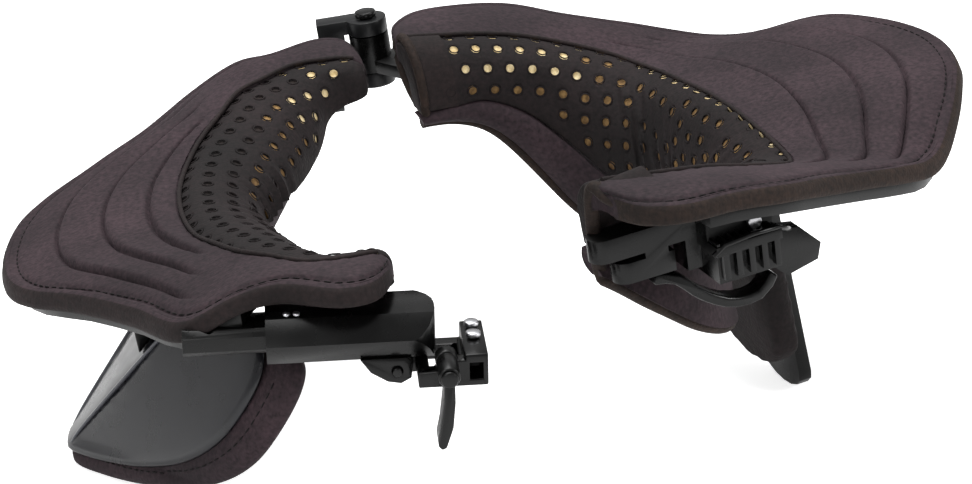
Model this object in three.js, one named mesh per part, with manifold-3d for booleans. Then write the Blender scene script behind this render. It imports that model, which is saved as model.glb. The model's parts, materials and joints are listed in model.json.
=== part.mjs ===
// Motocross neck brace, shown opened at its side hinge. Millimetres, +Z up, +X to the wearer's back, +Y to the hinge side.
// Both halves are drawn square to the collar plane: forward or back along X, the arms out to the sides.
import * as THREE from "three";
import Module from "manifold-3d";
import { mergeVertices } from "three/addons/utils/BufferGeometryUtils.js";

const wasm = await Module();
wasm.setup();

// Whole brace
const gap = 0.4;                 // clearance between touching pieces
const collarPitch = 7.9;         // degrees, the front hangs lower than the back
const openAngle = 17.7;          // degrees, rear half swung away from closed
const hingeSide = 122;           // hinge axis, out from the middle

// Pads
const frontReach = 133;          // middle of the neck to the nose of the front table
const rearReach = 171;           // middle of the neck to the back edge
const outerHalf = 115;           // half width over the arms
const seamHalf = 89.5;           // half width between the collar seams
const neckHalf = 70;             // half width of the neck hole at the back
const neckHalfFront = 79;        // and at the front
const neckFront = 43.5;          // neck hole, forward of the middle
const neckBack = 69;             // neck hole, back of the middle
const seamFront = 70.5;
const seamBack = 85;
const rise = 12;                 // height unit of the tables above the collar plane
const collarDrop = 50;           // deepest lower edge of the rear collar
const skirtDrop = 68;            // deepest rim of the shoulder pad
const nearSag = 24;              // the soft rim hangs lower by the latch
const tableThick = 9;
const tableEdge = 6;
const collarThick = 7;
const skirtThick = 6;
const reliefHeight = 1.7;        // ribs moulded in the tables
const collarCrown = 1.6;

// Moulded frame and arms
const frameThick = 4;
const armIn = 93;                // arm blade between these half widths
const armOut = 106;
const armTop = -3.2;
const armDepth = 8.4;
const armDroop = 7;              // degrees, the clasp arm falls away from the table
const armLift = 3.4;             // and starts this much higher than the hinge arm
const armStart = 68;             // forward end of the blade
const hingeArmStart = 66;
const armTip = 7;                // tip of the blade inside its sleeve
const sleeveFront = 43;
const sleeveIn = 90;
const sleeveOut = 113;
const sleeveTop = 0.1;
const sleeveDepth = 14.5;
const hingeArmDepth = 4.6;
const hingeSleeveDepth = 10.2;
const claspReach = 8;            // rounded end of the clasp sleeve, past the middle

// Chest piece
const plateHalf = 74;            // half width of the chest plate
const plateDown = 53;            // lowest part of the plate down its slope, from its datum
const plateThick = 3;
const plateForward = 89.8;       // datum on the middle face, under the nose
const plateDrop = 40.4;
const plateSlope = 46.5;         // degrees below level
const foldHalf = 22;             // half width of the flat middle face at the datum
const foldNarrow = 0.33;         // and how much narrower for each mm down
const plateSweep = 0.7;          // back for each mm out from the fold
const plateLift = 0.15;          // up for each mm out from the fold
const padThick = 8;
const padMargin = 9;             // chest pad past the sides of the plate
const padHang = 4;               // and past its lower end
const padInset = 5;              // the back of the pad is this much shorter

// Rear strut
const strutBack = 88;            // top of the strut, back from the middle
const strutFoot = 104;           // its foot under the frame reaches back to here
const strutFootThick = 5.5;
const strutTop = -16;
const strutLean = 0.1;           // back for each mm down
const strutThick = 5;
const strutHalf = 15;
const strutPadThick = 11;
const strutPadHalf = 25;
const strutPadTop = -52;
const strutShows = 14;           // the strut reaches past its pad

// Hinge
const knuckleRadius = 7.5;
const pinRadius = 2.4;
const earThick = 5.5;
const lugBottom = -5.6;
const lugTop = 8.6;

// Clasp
const claspIn = 91;
const claspOut = 115;
const claspPivotX = -4;
const claspPivotZ = -18.4;
const claspPivotRadius = 1.5;
const claspEnd = 23;
const barThick = 5;
const leverPivotX = 10.5;
const leverPivotZ = -12.4;
const leverLength = 24;
const leverWidth = 11;
const leverThick = 3.2;
const leverPinRadius = 1.4;

// Latch receiver
const receiverIn = 78.6;         // between these half widths
const receiverOut = 88.4;

// Half tables, arm end to middle, as shares of the sizes named in sectionAt
const frontSections = [
  { edgeX: 0.026, edgeY: 0.850, edgeZ: 0.81, seamX: 0.043, seamY: 0.961, seamZ: 0.83, neckX: 0.069, neckY: 1.000, neckZ: -0.17 },
  { edgeX: 0.068, edgeY: 0.958, edgeZ: 0.94, seamX: 0.113, seamY: 0.983, seamZ: 0.96, neckX: 0.184, neckY: 1.006, neckZ: -0.21 },
  { edgeX: 0.150, edgeY: 0.985, edgeZ: 1.04, seamX: 0.241, seamY: 1.000, seamZ: 1.00, neckX: 0.333, neckY: 1.000, neckZ: -0.33 },
  { edgeX: 0.282, edgeY: 0.906, edgeZ: 1.06, seamX: 0.411, seamY: 0.983, seamZ: 1.03, neckX: 0.460, neckY: 0.949, neckZ: -0.60 },
  { edgeX: 0.383, edgeY: 0.910, edgeZ: 0.96, seamX: 0.567, seamY: 0.883, seamZ: 1.02, neckX: 0.540, neckY: 0.835, neckZ: -1.00 },
  { edgeX: 0.522, edgeY: 0.875, edgeZ: 0.30, seamX: 0.702, seamY: 0.788, seamZ: 0.97, neckX: 0.632, neckY: 0.684, neckZ: -1.20 },
  { edgeX: 0.639, edgeY: 0.684, edgeZ: 0.09, seamX: 0.809, seamY: 0.626, seamZ: 0.75, neckX: 0.724, neckY: 0.506, neckZ: -1.25 },
  { edgeX: 0.782, edgeY: 0.491, edgeZ: -0.10, seamX: 0.901, seamY: 0.475, seamZ: 0.56, neckX: 0.840, neckY: 0.329, neckZ: -1.25 },
  { edgeX: 0.910, edgeY: 0.343, edgeZ: -0.35, seamX: 0.957, seamY: 0.313, seamZ: 0.45, neckX: 0.931, neckY: 0.177, neckZ: -1.25 },
  { edgeX: 0.977, edgeY: 0.200, edgeZ: -0.49, seamX: 0.989, seamY: 0.156, seamZ: 0.42, neckX: 0.984, neckY: 0.080, neckZ: -1.25 },
  { edgeX: 1.000, edgeY: 0.000, edgeZ: -0.55, seamX: 1.000, seamY: 0.000, seamZ: 0.42, neckX: 1.000, neckY: 0.000, neckZ: -1.25 },
];
const rearSections = [
  { edgeX: 0.005, edgeY: 0.850, edgeZ: 1.19, seamX: -0.024, seamY: 0.939, seamZ: 1.42, neckX: -0.029, neckY: 1.000, neckZ: -0.16, rimX: -0.029, rimY: 1.020, rimZ: -0.20, sag: 0.20 },
  { edgeX: 0.034, edgeY: 0.936, edgeZ: 1.20, seamX: 0.045, seamY: 0.933, seamZ: 1.37, neckX: 0.055, neckY: 0.993, neckZ: -0.16, rimX: 0.055, rimY: 1.020, rimZ: -0.20, sag: 0.32 },
  { edgeX: 0.098, edgeY: 0.997, edgeZ: 1.23, seamX: 0.162, seamY: 0.925, seamZ: 1.21, neckX: 0.185, neckY: 0.979, neckZ: -0.17, rimX: 0.178, rimY: 1.010, rimZ: -0.22, sag: 0.62 },
  { edgeX: 0.198, edgeY: 0.989, edgeZ: 1.12, seamX: 0.314, seamY: 0.911, seamZ: 1.00, neckX: 0.345, neckY: 0.957, neckZ: -0.19, rimX: 0.325, rimY: 0.990, rimZ: -0.27, sag: 0.92 },
  { edgeX: 0.308, edgeY: 0.967, edgeZ: 0.81, seamX: 0.469, seamY: 0.886, seamZ: 0.73, neckX: 0.533, neckY: 0.900, neckZ: -0.34, rimX: 0.490, rimY: 0.940, rimZ: -0.43, sag: 0.80 },
  { edgeX: 0.419, edgeY: 0.886, edgeZ: 0.27, seamX: 0.611, seamY: 0.855, seamZ: 0.38, neckX: 0.693, neckY: 0.807, neckZ: -0.58, rimX: 0.630, rimY: 0.857, rimZ: -0.75, sag: 0.30 },
  { edgeX: 0.530, edgeY: 0.816, edgeZ: -0.24, seamX: 0.753, seamY: 0.804, seamZ: -0.02, neckX: 0.810, neckY: 0.686, neckZ: -0.80, rimX: 0.750, rimY: 0.757, rimZ: -0.90, sag: 0 },
  { edgeX: 0.636, edgeY: 0.748, edgeZ: -0.74, seamX: 0.871, seamY: 0.743, seamZ: -0.38, neckX: 0.895, neckY: 0.514, neckZ: -0.92, rimX: 0.850, rimY: 0.600, rimZ: -0.96, sag: 0 },
  { edgeX: 0.718, edgeY: 0.684, edgeZ: -1.06, seamX: 0.941, seamY: 0.659, seamZ: -0.61, neckX: 0.953, neckY: 0.343, neckZ: -0.98, rimX: 0.925, rimY: 0.414, rimZ: -0.985, sag: 0 },
  { edgeX: 0.794, edgeY: 0.583, edgeZ: -0.98, seamX: 0.971, seamY: 0.492, seamZ: -0.58, neckX: 0.982, neckY: 0.200, neckZ: -1.00, rimX: 0.965, rimY: 0.243, rimZ: -1.00, sag: 0 },
  { edgeX: 0.899, edgeY: 0.404, edgeZ: -0.31, seamX: 0.988, seamY: 0.302, seamZ: -0.53, neckX: 0.993, neckY: 0.100, neckZ: -1.00, rimX: 0.985, rimY: 0.120, rimZ: -1.00, sag: 0 },
  { edgeX: 0.969, edgeY: 0.217, edgeZ: -0.19, seamX: 0.998, seamY: 0.134, seamZ: -0.48, neckX: 0.998, neckY: 0.043, neckZ: -1.00, rimX: 0.996, rimY: 0.050, rimZ: -1.00, sag: 0 },
  { edgeX: 1.000, edgeY: 0.000, edgeZ: -0.19, seamX: 1.000, seamY: 0.000, seamZ: -0.47, neckX: 1.000, neckY: 0.000, neckZ: -1.00, rimX: 1.000, rimY: 0.000, rimZ: -1.00, sag: 0 },
];
// Moulded ribs across a table, seam to edge: share of the width, height
const frontRelief = [
  { across: 0, height: 0 }, { across: 0.08, height: 0.5 }, { across: 0.17, height: -0.6 }, { across: 0.29, height: 0.6 },
  { across: 0.42, height: -0.6 }, { across: 0.55, height: 0.6 }, { across: 0.68, height: -0.6 }, { across: 0.84, height: 0.4 },
  { across: 0.95, height: 0 }, { across: 1, height: -0.9 },
];
const rearRelief = [
  { across: 0, height: 0 }, { across: 0.12, height: 0.5 }, { across: 0.25, height: -0.6 }, { across: 0.37, height: 0.6 },
  { across: 0.5, height: -0.6 }, { across: 0.61, height: 0.6 }, { across: 0.72, height: -0.6 }, { across: 0.85, height: 0.4 },
  { across: 0.95, height: 0 }, { across: 1, height: -0.9 },
];
// Half outline of the chest plate, middle to side: share of the half width, top and bottom as shares of plateDown
const plateOutline = [
  { out: 0, top: -0.3, bottom: 1 }, { out: 0.16, top: -0.32, bottom: 1 }, { out: 0.3, top: -0.36, bottom: 0.99 },
  { out: 0.52, top: -0.38, bottom: 0.925 }, { out: 0.76, top: -0.38, bottom: 0.79 }, { out: 0.9, top: -0.36, bottom: 0.64 },
  { out: 0.98, top: -0.28, bottom: 0.42 }, { out: 1, top: -0.16, bottom: 0.26 },
];

// Geometry helpers
const radians = THREE.MathUtils.degToRad;
const lerp = THREE.MathUtils.lerp;

function finishGeometry(positions, faces) {
  let volume = 0;
  for (const [a, b, c] of faces) volume += positions[a].dot(positions[b].clone().cross(positions[c]));
  const index = faces.flatMap(([a, b, c]) => (volume > 0 ? [a, b, c] : [a, c, b]));
  const geometry = new THREE.BufferGeometry();
  geometry.setAttribute("position", new THREE.Float32BufferAttribute(positions.flatMap((p) => p.toArray()), 3));
  geometry.setIndex(index);
  return geometry;
}

// A closed body between two grids of points, rows along the piece and columns across it
function bodyBetween(upper, lower) {
  const rows = upper.length;
  const columns = upper[0].length;
  const positions = [...upper.flat(), ...lower.flat()];
  const top = (r, c) => r * columns + c;
  const under = (r, c) => rows * columns + r * columns + c;
  const faces = [];
  const quad = (a, b, c, d) => faces.push([a, b, c], [a, c, d]);
  for (let r = 0; r < rows - 1; r++) {
    for (let c = 0; c < columns - 1; c++) {
      quad(top(r, c), top(r, c + 1), top(r + 1, c + 1), top(r + 1, c));
      quad(under(r, c), under(r + 1, c), under(r + 1, c + 1), under(r, c + 1));
    }
    quad(top(r, 0), top(r + 1, 0), under(r + 1, 0), under(r, 0));
    quad(top(r + 1, columns - 1), top(r, columns - 1), under(r, columns - 1), under(r + 1, columns - 1));
  }
  for (let c = 0; c < columns - 1; c++) {
    quad(top(0, c + 1), top(0, c), under(0, c), under(0, c + 1));
    quad(top(rows - 1, c), top(rows - 1, c + 1), under(rows - 1, c + 1), under(rows - 1, c));
  }
  return finishGeometry(positions, faces);
}

function toSolid(geometry) {
  const bare = geometry.clone();
  bare.deleteAttribute("normal");
  bare.deleteAttribute("uv");
  const merged = mergeVertices(bare, 1e-4);
  const index = merged.index.array;
  return new wasm.Manifold(new wasm.Mesh({
    numProp: 3,
    vertProperties: new Float32Array(merged.attributes.position.array),
    triVerts: new Uint32Array(index),
  }));
}

function fromSolid(solid) {
  const mesh = solid.getMesh();
  const geometry = new THREE.BufferGeometry();
  geometry.setAttribute("position", new THREE.BufferAttribute(new Float32Array(mesh.vertProperties), 3));
  geometry.setIndex(new THREE.BufferAttribute(new Uint32Array(mesh.triVerts), 1));
  return geometry;
}

const joined = (...parts) => fromSolid(parts.map(toSolid).reduce((a, b) => a.add(b)));
const cut = (part, ...tools) => fromSolid(tools.map(toSolid).reduce((a, b) => a.subtract(b), toSolid(part)));

function boxBetween(x, y, z) {
  const geometry = new THREE.BoxGeometry(x[1] - x[0], y[1] - y[0], z[1] - z[0]);
  return geometry.translate((x[0] + x[1]) / 2, (y[0] + y[1]) / 2, (z[0] + z[1]) / 2);
}

// An outline of [x, y] points pushed up from z[0] to z[1]
function slab(outline, z) {
  const shape = new THREE.Shape(outline.map(([x, y]) => new THREE.Vector2(x, y)));
  const geometry = new THREE.ExtrudeGeometry(shape, { depth: z[1] - z[0], bevelEnabled: false });
  return geometry.translate(0, 0, z[0]);
}

// A side view of [x, z] points pushed from y[0] to y[1]
function profile(outline, y) {
  const shape = new THREE.Shape(outline.map(([x, z]) => new THREE.Vector2(x, z)));
  const geometry = new THREE.ExtrudeGeometry(shape, { depth: y[1] - y[0], bevelEnabled: false });
  return geometry.rotateX(Math.PI / 2).translate(0, y[1], 0);
}

// A section of [y, z] points pushed from x[0] to x[1]
function bar(section, x) {
  const shape = new THREE.Shape(section.map(([y, z]) => new THREE.Vector2(y, z)));
  const geometry = new THREE.ExtrudeGeometry(shape, { depth: x[1] - x[0], bevelEnabled: false });
  return geometry.rotateX(Math.PI / 2).rotateZ(Math.PI / 2).translate(x[0], 0, 0);
}

function uprightRod(radius, x, y, z, sides = 16) {
  const geometry = new THREE.CylinderGeometry(radius, radius, z[1] - z[0], sides);
  return geometry.rotateX(Math.PI / 2).translate(x, y, (z[0] + z[1]) / 2);
}

function crossRod(radius, x, z, y, sides = 14) {
  const geometry = new THREE.CylinderGeometry(radius, radius, y[1] - y[0], sides);
  return geometry.translate(x, (y[0] + y[1]) / 2, z);
}

// Smooth sections of a whole half brace: near arm end, through the middle, to the far arm end
function smoothSections(table, steps) {
  const near = table.map((row) => ({ row, side: -1 }));
  const far = table.slice(0, -1).reverse().map((row) => ({ row, side: 1 }));
  const stations = [...near, ...far];
  const value = (i, key) => {
    const station = stations[THREE.MathUtils.clamp(i, 0, stations.length - 1)];
    return station.row[key] * (key.endsWith("Y") ? station.side : 1);
  };
  const smooth = [];
  for (let k = 0; k <= (stations.length - 1) * steps; k++) {
    const i = Math.min(Math.floor(k / steps), stations.length - 2);
    const t = k / steps - i;
    const section = { place: k / steps };
    for (const key of Object.keys(table[0])) {
      const [a, b, c, d] = [value(i - 1, key), value(i, key), value(i + 1, key), value(i + 2, key)];
      section[key] = b + 0.5 * t * (c - a + t * (2 * a - 5 * b + 4 * c - d + t * (3 * (b - c) + d - a)));
    }
    smooth.push(section);
  }
  return smooth;
}

// Turns the shares of one section into points on the edge, the collar seam, the neck hole and the rim
function sectionPoints(section, sizes) {
  const { ahead, reach, seamReach, neckReach, neckSide, neckZ } = sizes;
  const edge = new THREE.Vector3(ahead * section.edgeX * reach, section.edgeY * outerHalf, section.edgeZ * rise);
  const seam = new THREE.Vector3(ahead * section.seamX * seamReach, section.seamY * seamHalf, section.seamZ * rise);
  const neck = new THREE.Vector3(ahead * section.neckX * neckReach, section.neckY * neckSide, section.neckZ * neckZ);
  const rim = sizes.rimZ
    ? new THREE.Vector3(
      ahead * section.rimX * neckReach, section.rimY * neckSide,
      section.rimZ * sizes.rimZ - (section.rimY < 0 ? section.sag * nearSag : 0),
    )
    : null;
  return { edge, seam, neck, rim, place: section.place };
}

const tableCrown = 1.5;
const edgeRoll = 1.5;

// Ribs fade out along the arms: full past the first of these sections, none before the second
const ribFade = { none: 4, full: 6.5 };

function tableColumn(points, across, height, last) {
  const top = points.seam.clone().lerp(points.edge, across);
  const inward = Math.min(points.place, last - points.place);
  const ribs = THREE.MathUtils.smoothstep(inward, ribFade.none, ribFade.full);
  const thick = lerp(tableThick, tableEdge, across);
  top.z += tableCrown * Math.sin(Math.PI * across);
  const under = top.clone();
  under.z -= thick;
  top.z += height > -0.8 ? height * reliefHeight * ribs : -edgeRoll;
  return { top, under };
}

function tablePad(sections, relief) {
  const last = sections.at(-1).place;
  const columns = sections.map((points) => relief.map((r) => tableColumn(points, r.across, r.height, last)));
  return bodyBetween(columns.map((row) => row.map((c) => c.top)), columns.map((row) => row.map((c) => c.under)));
}

const collarSteps = 6;

function collarPad(sections) {
  const upper = [];
  const lower = [];
  for (const { seam, neck } of sections) {
    const inward = new THREE.Vector2(neck.x - seam.x, neck.y - seam.y);
    const wide = inward.length();
    inward.normalize();
    const drop = neck.z - seam.z;
    const place = (along, z) => new THREE.Vector3(seam.x + inward.x * along, seam.y + inward.y * along, seam.z + z);
    const over = [];
    const under = [];
    for (let k = 0; k < collarSteps; k++) {
      const turn = (k / (collarSteps - 1)) * Math.PI / 2;
      const crown = collarCrown * Math.sin(2 * turn);
      const round = 1 - Math.cos(turn);
      over.push(place(gap + (wide - gap) * Math.sin(turn) + crown * Math.sin(turn), drop * round + crown * Math.cos(turn)));
      under.push(place(gap + (wide - gap - collarThick) * Math.sin(turn), (drop + collarThick) * round - collarThick));
    }
    upper.push(over);
    lower.push(under);
  }
  return bodyBetween(upper, lower);
}

const skirtSteps = 5;
const skirtBulge = 2;

function shoulderPad(sections) {
  const inner = [];
  const outer = [];
  for (const { seam, neck, rim } of sections) {
    const inward = new THREE.Vector3(neck.x - seam.x, neck.y - seam.y, 0).normalize();
    const start = neck.clone().add(new THREE.Vector3(0, 0, -gap));
    const face = [];
    const back = [];
    for (let k = 0; k < skirtSteps; k++) {
      const share = k / (skirtSteps - 1);
      const point = start.clone().lerp(rim, share).addScaledVector(inward, skirtBulge * Math.sin(Math.PI * share));
      face.push(point);
      back.push(point.clone().addScaledVector(inward, -skirtThick));
    }
    inner.push(face);
    outer.push(back);
  }
  return bodyBetween(inner, outer);
}

const frameShares = [0.12, 0.35, 0.6, 0.8, 0.92];
const wholeWidth = [-0.02, ...frameShares, 1.03];

// The moulded plate under a table, between two sections counted from each arm end
function framePlate(sections, from, thick = frameThick, above = 0, shares = frameShares) {
  const last = sections.at(-1).place;
  const held = sections.filter(({ place }) => place >= from && place <= last - from);
  const top = held.map((points) => shares.map((share) => {
    const { under } = tableColumn(points, share, 0, last);
    return under.setZ(under.z - gap);
  }));
  const shifted = (by) => top.map((row) => row.map((p) => p.clone().setZ(p.z + by)));
  return bodyBetween(shifted(above), shifted(-thick));
}

const frontSmooth = smoothSections(frontSections, 2).map((s) => sectionPoints(s, {
  ahead: -1, reach: frontReach, seamReach: seamFront, neckReach: neckFront, neckSide: neckHalfFront, neckZ: rise,
}));
const rearSmooth = smoothSections(rearSections, 2).map((s) => sectionPoints(s, {
  ahead: 1, reach: rearReach, seamReach: seamBack, neckReach: neckBack, neckSide: neckHalf, neckZ: collarDrop, rimZ: skirtDrop,
}));

// Materials
const paint = (color, roughness, metalness = 0) => new THREE.MeshStandardMaterial({ color, roughness, metalness });
const padFabric = paint(0x3a3036, 0.85);
const meshFabric = paint(0x1f1a1c, 0.9);
const glossPlastic = paint(0x17171a, 0.35);
const satinPlastic = paint(0x2c2b30, 0.5);
const greyPlastic = paint(0x4a4b4d, 0.5);
const brightSteel = paint(0xd0d0d2, 0.3, 1);

const front = new THREE.Group();
const rear = new THREE.Group();

function put(group, name, geometry, material) {
  const mesh = new THREE.Mesh(geometry, material);
  mesh.name = name;
  group.add(mesh);
  return mesh;
}

put(front, "front_table_pad", tablePad(frontSmooth, frontRelief), padFabric);
put(front, "front_collar_pad", collarPad(frontSmooth), meshFabric);
put(rear, "rear_table_pad", tablePad(rearSmooth, rearRelief), padFabric);
put(rear, "rear_collar_pad", collarPad(rearSmooth), meshFabric);
put(rear, "rear_shoulder_pad", shoulderPad(rearSmooth), padFabric);

// Frames and arms
const chamfer = 2;
const blade = (side, x, depth) => {
  const armZ = [armTop - depth, armTop];
  const section = [
    [armIn, armZ[1]], [armOut - chamfer, armZ[1]], [armOut, armZ[1] - chamfer], [armOut, armZ[0] + chamfer],
    [armOut - chamfer, armZ[0]], [armIn, armZ[0]],
  ];
  return bar(section.map(([y, z]) => [side * y, z]), x);
};
// Turns a piece of the clasp arm down about the forward end of its sleeve
const drooped = (geometry) => geometry.translate(sleeveFront, 0, 0).rotateY(radians(armDroop)).translate(-sleeveFront, 0, armLift);
const hingeArmTip = 16;
const frontPlateFrom = 4;        // sections from the arm ends where the plates begin
const rearPlateFrom = 2.5;
const frontTableSpace = framePlate(frontSmooth, 2.5, 0, 40, wholeWidth);
put(front, "front_frame", joined(
  framePlate(frontSmooth, frontPlateFrom),
  cut(drooped(blade(-1, [-armStart, -armTip], armDepth)), frontTableSpace),
  blade(1, [-hingeArmStart, -hingeArmTip], hingeArmDepth),
), glossPlastic);

const sleeveSection = (side, depth) => [
  [sleeveIn, sleeveTop], [sleeveOut - 7, sleeveTop], [sleeveOut, sleeveTop - 6],
  [sleeveOut - 6.5, sleeveTop - depth], [sleeveIn + 2, sleeveTop - depth], [sleeveIn - 1, sleeveTop - 6],
].map(([y, z]) => [side * y, z]);
const sleeveBore = (side, tip, depth) => {
  const y = [side * (armIn - gap), side * (armOut + gap)].sort((a, b) => a - b);
  return boxBetween([-sleeveFront - 1, -tip + gap], y, [armTop - depth - gap, armTop + gap]);
};

function roundEnd(x, y, radius, z) {
  const outline = [[x[0], y[1]], [x[0], y[0]]];
  for (let k = 0; k <= 5; k++) {
    const turn = (k / 5) * Math.PI / 2;
    outline.push([x[1] - radius + radius * Math.sin(turn), y[0] + radius - radius * Math.cos(turn)]);
  }
  for (let k = 0; k <= 5; k++) {
    const turn = (k / 5) * Math.PI / 2;
    outline.push([x[1] - radius + radius * Math.cos(turn), y[1] - radius + radius * Math.sin(turn)]);
  }
  return slab(outline, z);
}

// Clasp sleeve with the two cheeks that carry the clasp frame
const cheekOutline = [[-15, -14], [-12, -18.4], [-7, -21.6], [-3, -22.4], [0.2, -20.6], [0.8, -16], [-1, -14]];
const claspSleeveBody = fromSolid(
  toSolid(bar(sleeveSection(-1, sleeveDepth), [-sleeveFront, claspReach]))
    .intersect(toSolid(roundEnd([-sleeveFront - 1, claspReach], [-sleeveOut - 1, -sleeveIn + 1.5], 11, [-30, 10]))),
);
put(front, "clasp_sleeve", drooped(cut(
  joined(claspSleeveBody, profile(cheekOutline, [-108, -104.4]), profile(cheekOutline, [-98, -94.4])),
  sleeveBore(-1, armTip, armDepth),
  crossRod(claspPivotRadius + 0.35, claspPivotX, claspPivotZ, [-120, -87]),
)), glossPlastic);
put(front, "clasp_pivot_pin", drooped(crossRod(claspPivotRadius, claspPivotX, claspPivotZ, [-109, -93.4])), brightSteel);
for (const [k, x] of [-36.6, -33.6].entries()) {
  put(front, `sleeve_pin_${k + 1}`, drooped(uprightRod(1.2, x, -104.6, [sleeveTop + gap, sleeveTop + 1.4], 12)), brightSteel);
}

// Hinge sleeve with the strap outside the pad, the block and its two ears
const earTop = lugTop + gap + earThick;
const lowerEar = [lugBottom - gap - earThick, lugBottom - gap];
const upperEar = [lugTop + gap, earTop];
const knuckle = (z, radius = knuckleRadius) => uprightRod(radius, 0, hingeSide, z, 24);
const strapSection = [[109, -9], [124.5, -9], [124.5, 5], [120.8, 5], [120.8, -1.6], [109, -1.6]];
const hingeBlock = boxBetween([-19, -9.2], [hingeSide - 1.2, hingeSide + 7], [lowerEar[0], upperEar[1]]);
const ear = (z) => joined(boxBetween([-11, 0], [hingeSide - 1.2, hingeSide + 7], z), knuckle(z));
put(front, "hinge_sleeve", cut(
  joined(bar(sleeveSection(1, hingeSleeveDepth), [-sleeveFront, -13]), bar(strapSection, [-41, -15]), hingeBlock, ear(lowerEar), ear(upperEar)),
  sleeveBore(1, hingeArmTip, hingeArmDepth),
  knuckle([-30, 30], pinRadius + 0.4),
  uprightRod(1.4, -36, 122.6, [-20, 20], 12),
), greyPlastic);
put(front, "hinge_pin", joined(
  knuckle([lowerEar[0], upperEar[1] + gap + 0.2], pinRadius),
  knuckle([upperEar[1] + gap, upperEar[1] + gap + 2.2], 4),
), brightSteel);

// Rear frame with the lug that turns on the hinge pin
const lugArm = [[-2, 115.5], [4, 101], [22, 97], [22, 109], [6, 126]];
put(rear, "rear_frame", cut(
  joined(framePlate(rearSmooth, rearPlateFrom), blade(1, [14, 62], hingeArmDepth), slab(lugArm, [lugBottom, -0.8]), knuckle([lugBottom, lugTop])),
  knuckle([-30, 30], pinRadius + 0.4),
), glossPlastic);

// Latch receiver under the near rear arm
const tongue = (x, z) => {
  const outline = roundEnd([-x[1], -x[0]], [receiverIn, receiverOut], (receiverOut - receiverIn) * 0.48, z);
  return outline.rotateZ(Math.PI);
};
const teeth = [32, 36.5, 41, 45.5, 50].map((x) => boxBetween([x, x + 2], [-102.4, -99], [-20, -11]));
const finOutline = [[50, -14], [58, -15], [66, -16.6], [73, -24], [71.5, -29.5], [60, -32], [50, -22]];
const rearFrameSpace = framePlate(rearSmooth, rearPlateFrom, frameThick + gap, 40, wholeWidth);
put(rear, "latch_receiver", cut(joined(
  tongue([-5, 40], [-9.4, -1.6]),
  tongue([2, 22], [-18.4, -11.4]),
  boxBetween([12, 20], [-receiverOut, -receiverIn], [-12, -9]),
  boxBetween([26, 53], [-receiverOut, -receiverIn], [-20, -9.2]),
  boxBetween([31, 53], [-100, -receiverIn], [-22, -9.2]),
  boxBetween([30, 53], [-102.4, -85], [-11.6, -8.4]),
  boxBetween([30, 53], [-96, -85], [-10, 12]),
  profile(finOutline, [-89, -83]),
  ...teeth,
), rearFrameSpace), glossPlastic);
put(rear, "receiver_screw", crossRod(2.4, 46, -5.4, [-98.6, -96 - gap]), brightSteel);

// Curved guard under the receiver
const guardPath = new THREE.CatmullRomCurve3([
  new THREE.Vector3(15, 0, -20.6), new THREE.Vector3(22, 0, -22.4), new THREE.Vector3(31, 0, -31), new THREE.Vector3(42, 0, -37),
  new THREE.Vector3(52, 0, -36.5), new THREE.Vector3(56.5, 0, -31),
]);
function guardOutline() {
  const points = guardPath.getSpacedPoints(12);
  const side = (sign) => points.map((p, i) => {
    const along = guardPath.getTangentAt(i / 12);
    return [p.x - sign * along.z * 1.8, p.z + sign * along.x * 1.8];
  });
  return [...side(1), ...side(-1).reverse()];
}
put(rear, "latch_guard", profile(guardOutline(), [-87, -79.5]), glossPlastic);

// Clasp frame: barrel on the pivot, two bars round a window, and the end block with the lever's pin
const barZ = [claspPivotZ - barThick / 2, claspPivotZ + barThick / 2];
const frameOutline = boxBetween([2, claspEnd], [-claspOut, -claspIn], barZ);
const claspWindow = boxBetween([5.5, 14.5], [-claspOut + 5, -claspIn - 5], [-40, 10]);
const claspBlockTop = leverPivotZ + 1.8;
const endBlock = boxBetween([16, claspEnd], [-claspOut, -claspIn], [barZ[0], claspBlockTop]);
const leverBossRadius = 3.4;
const leverBoss = crossRod(leverBossRadius, leverPivotX, leverPivotZ, [-claspOut, -claspOut + 4.4], 18);
const bossFoot = boxBetween([leverPivotX - 3, claspEnd - 2], [-claspOut, -claspOut + 4.4], [claspPivotZ, leverPivotZ]);
const leverY = [-claspOut - gap - leverWidth, -claspOut - gap];
put(front, "clasp_frame", drooped(cut(
  joined(
    cut(frameOutline, claspWindow), endBlock, leverBoss, bossFoot,
    crossRod(3.1, claspPivotX, claspPivotZ, [-103.9, -98.5], 18),
    boxBetween([claspPivotX, 4], [-103.9, -98.5], barZ),
    crossRod(leverPinRadius, leverPivotX, leverPivotZ, [leverY[0] - gap - 1, -claspOut + 2]),
    crossRod(2.6, leverPivotX, leverPivotZ, [leverY[0] - gap - 1.2, leverY[0] - gap]),
  ),
  crossRod(claspPivotRadius + 0.35, claspPivotX, claspPivotZ, [-120, -90]),
  boxBetween([17.4, 21.4], [-claspOut - 1, -claspOut + 9], [barZ[0] + 2, leverPivotZ - 1]),
)), glossPlastic);
for (const [k, y] of [-95.4, -103].entries()) {
  put(front, `clasp_screw_${k + 1}`, drooped(uprightRod(2.3, 19.5, y, [claspBlockTop + gap, claspBlockTop + 2], 14)), brightSteel);
}

// Clasp lever, hanging from its pin
const leverOutline = [
  [-1.6, 0], [1.6, 0], [1.7, -leverLength * 0.35], [0.9, -leverLength * 0.7], [-1.2, -leverLength * 0.97], [-2.6, -leverLength],
  [-3.8, -leverLength * 0.95], [-2.6, -leverLength * 0.7], [-1.6, -leverLength * 0.35],
].map(([x, z]) => [leverPivotX + x * leverThick / 3.2, leverPivotZ + z]);
put(front, "clasp_lever", drooped(cut(
  joined(profile(leverOutline, leverY), crossRod(3.3, leverPivotX, leverPivotZ, leverY, 18)),
  crossRod(leverPinRadius + 0.35, leverPivotX, leverPivotZ, [leverY[0] - 1, leverY[1] + 1]),
)), glossPlastic);

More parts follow.
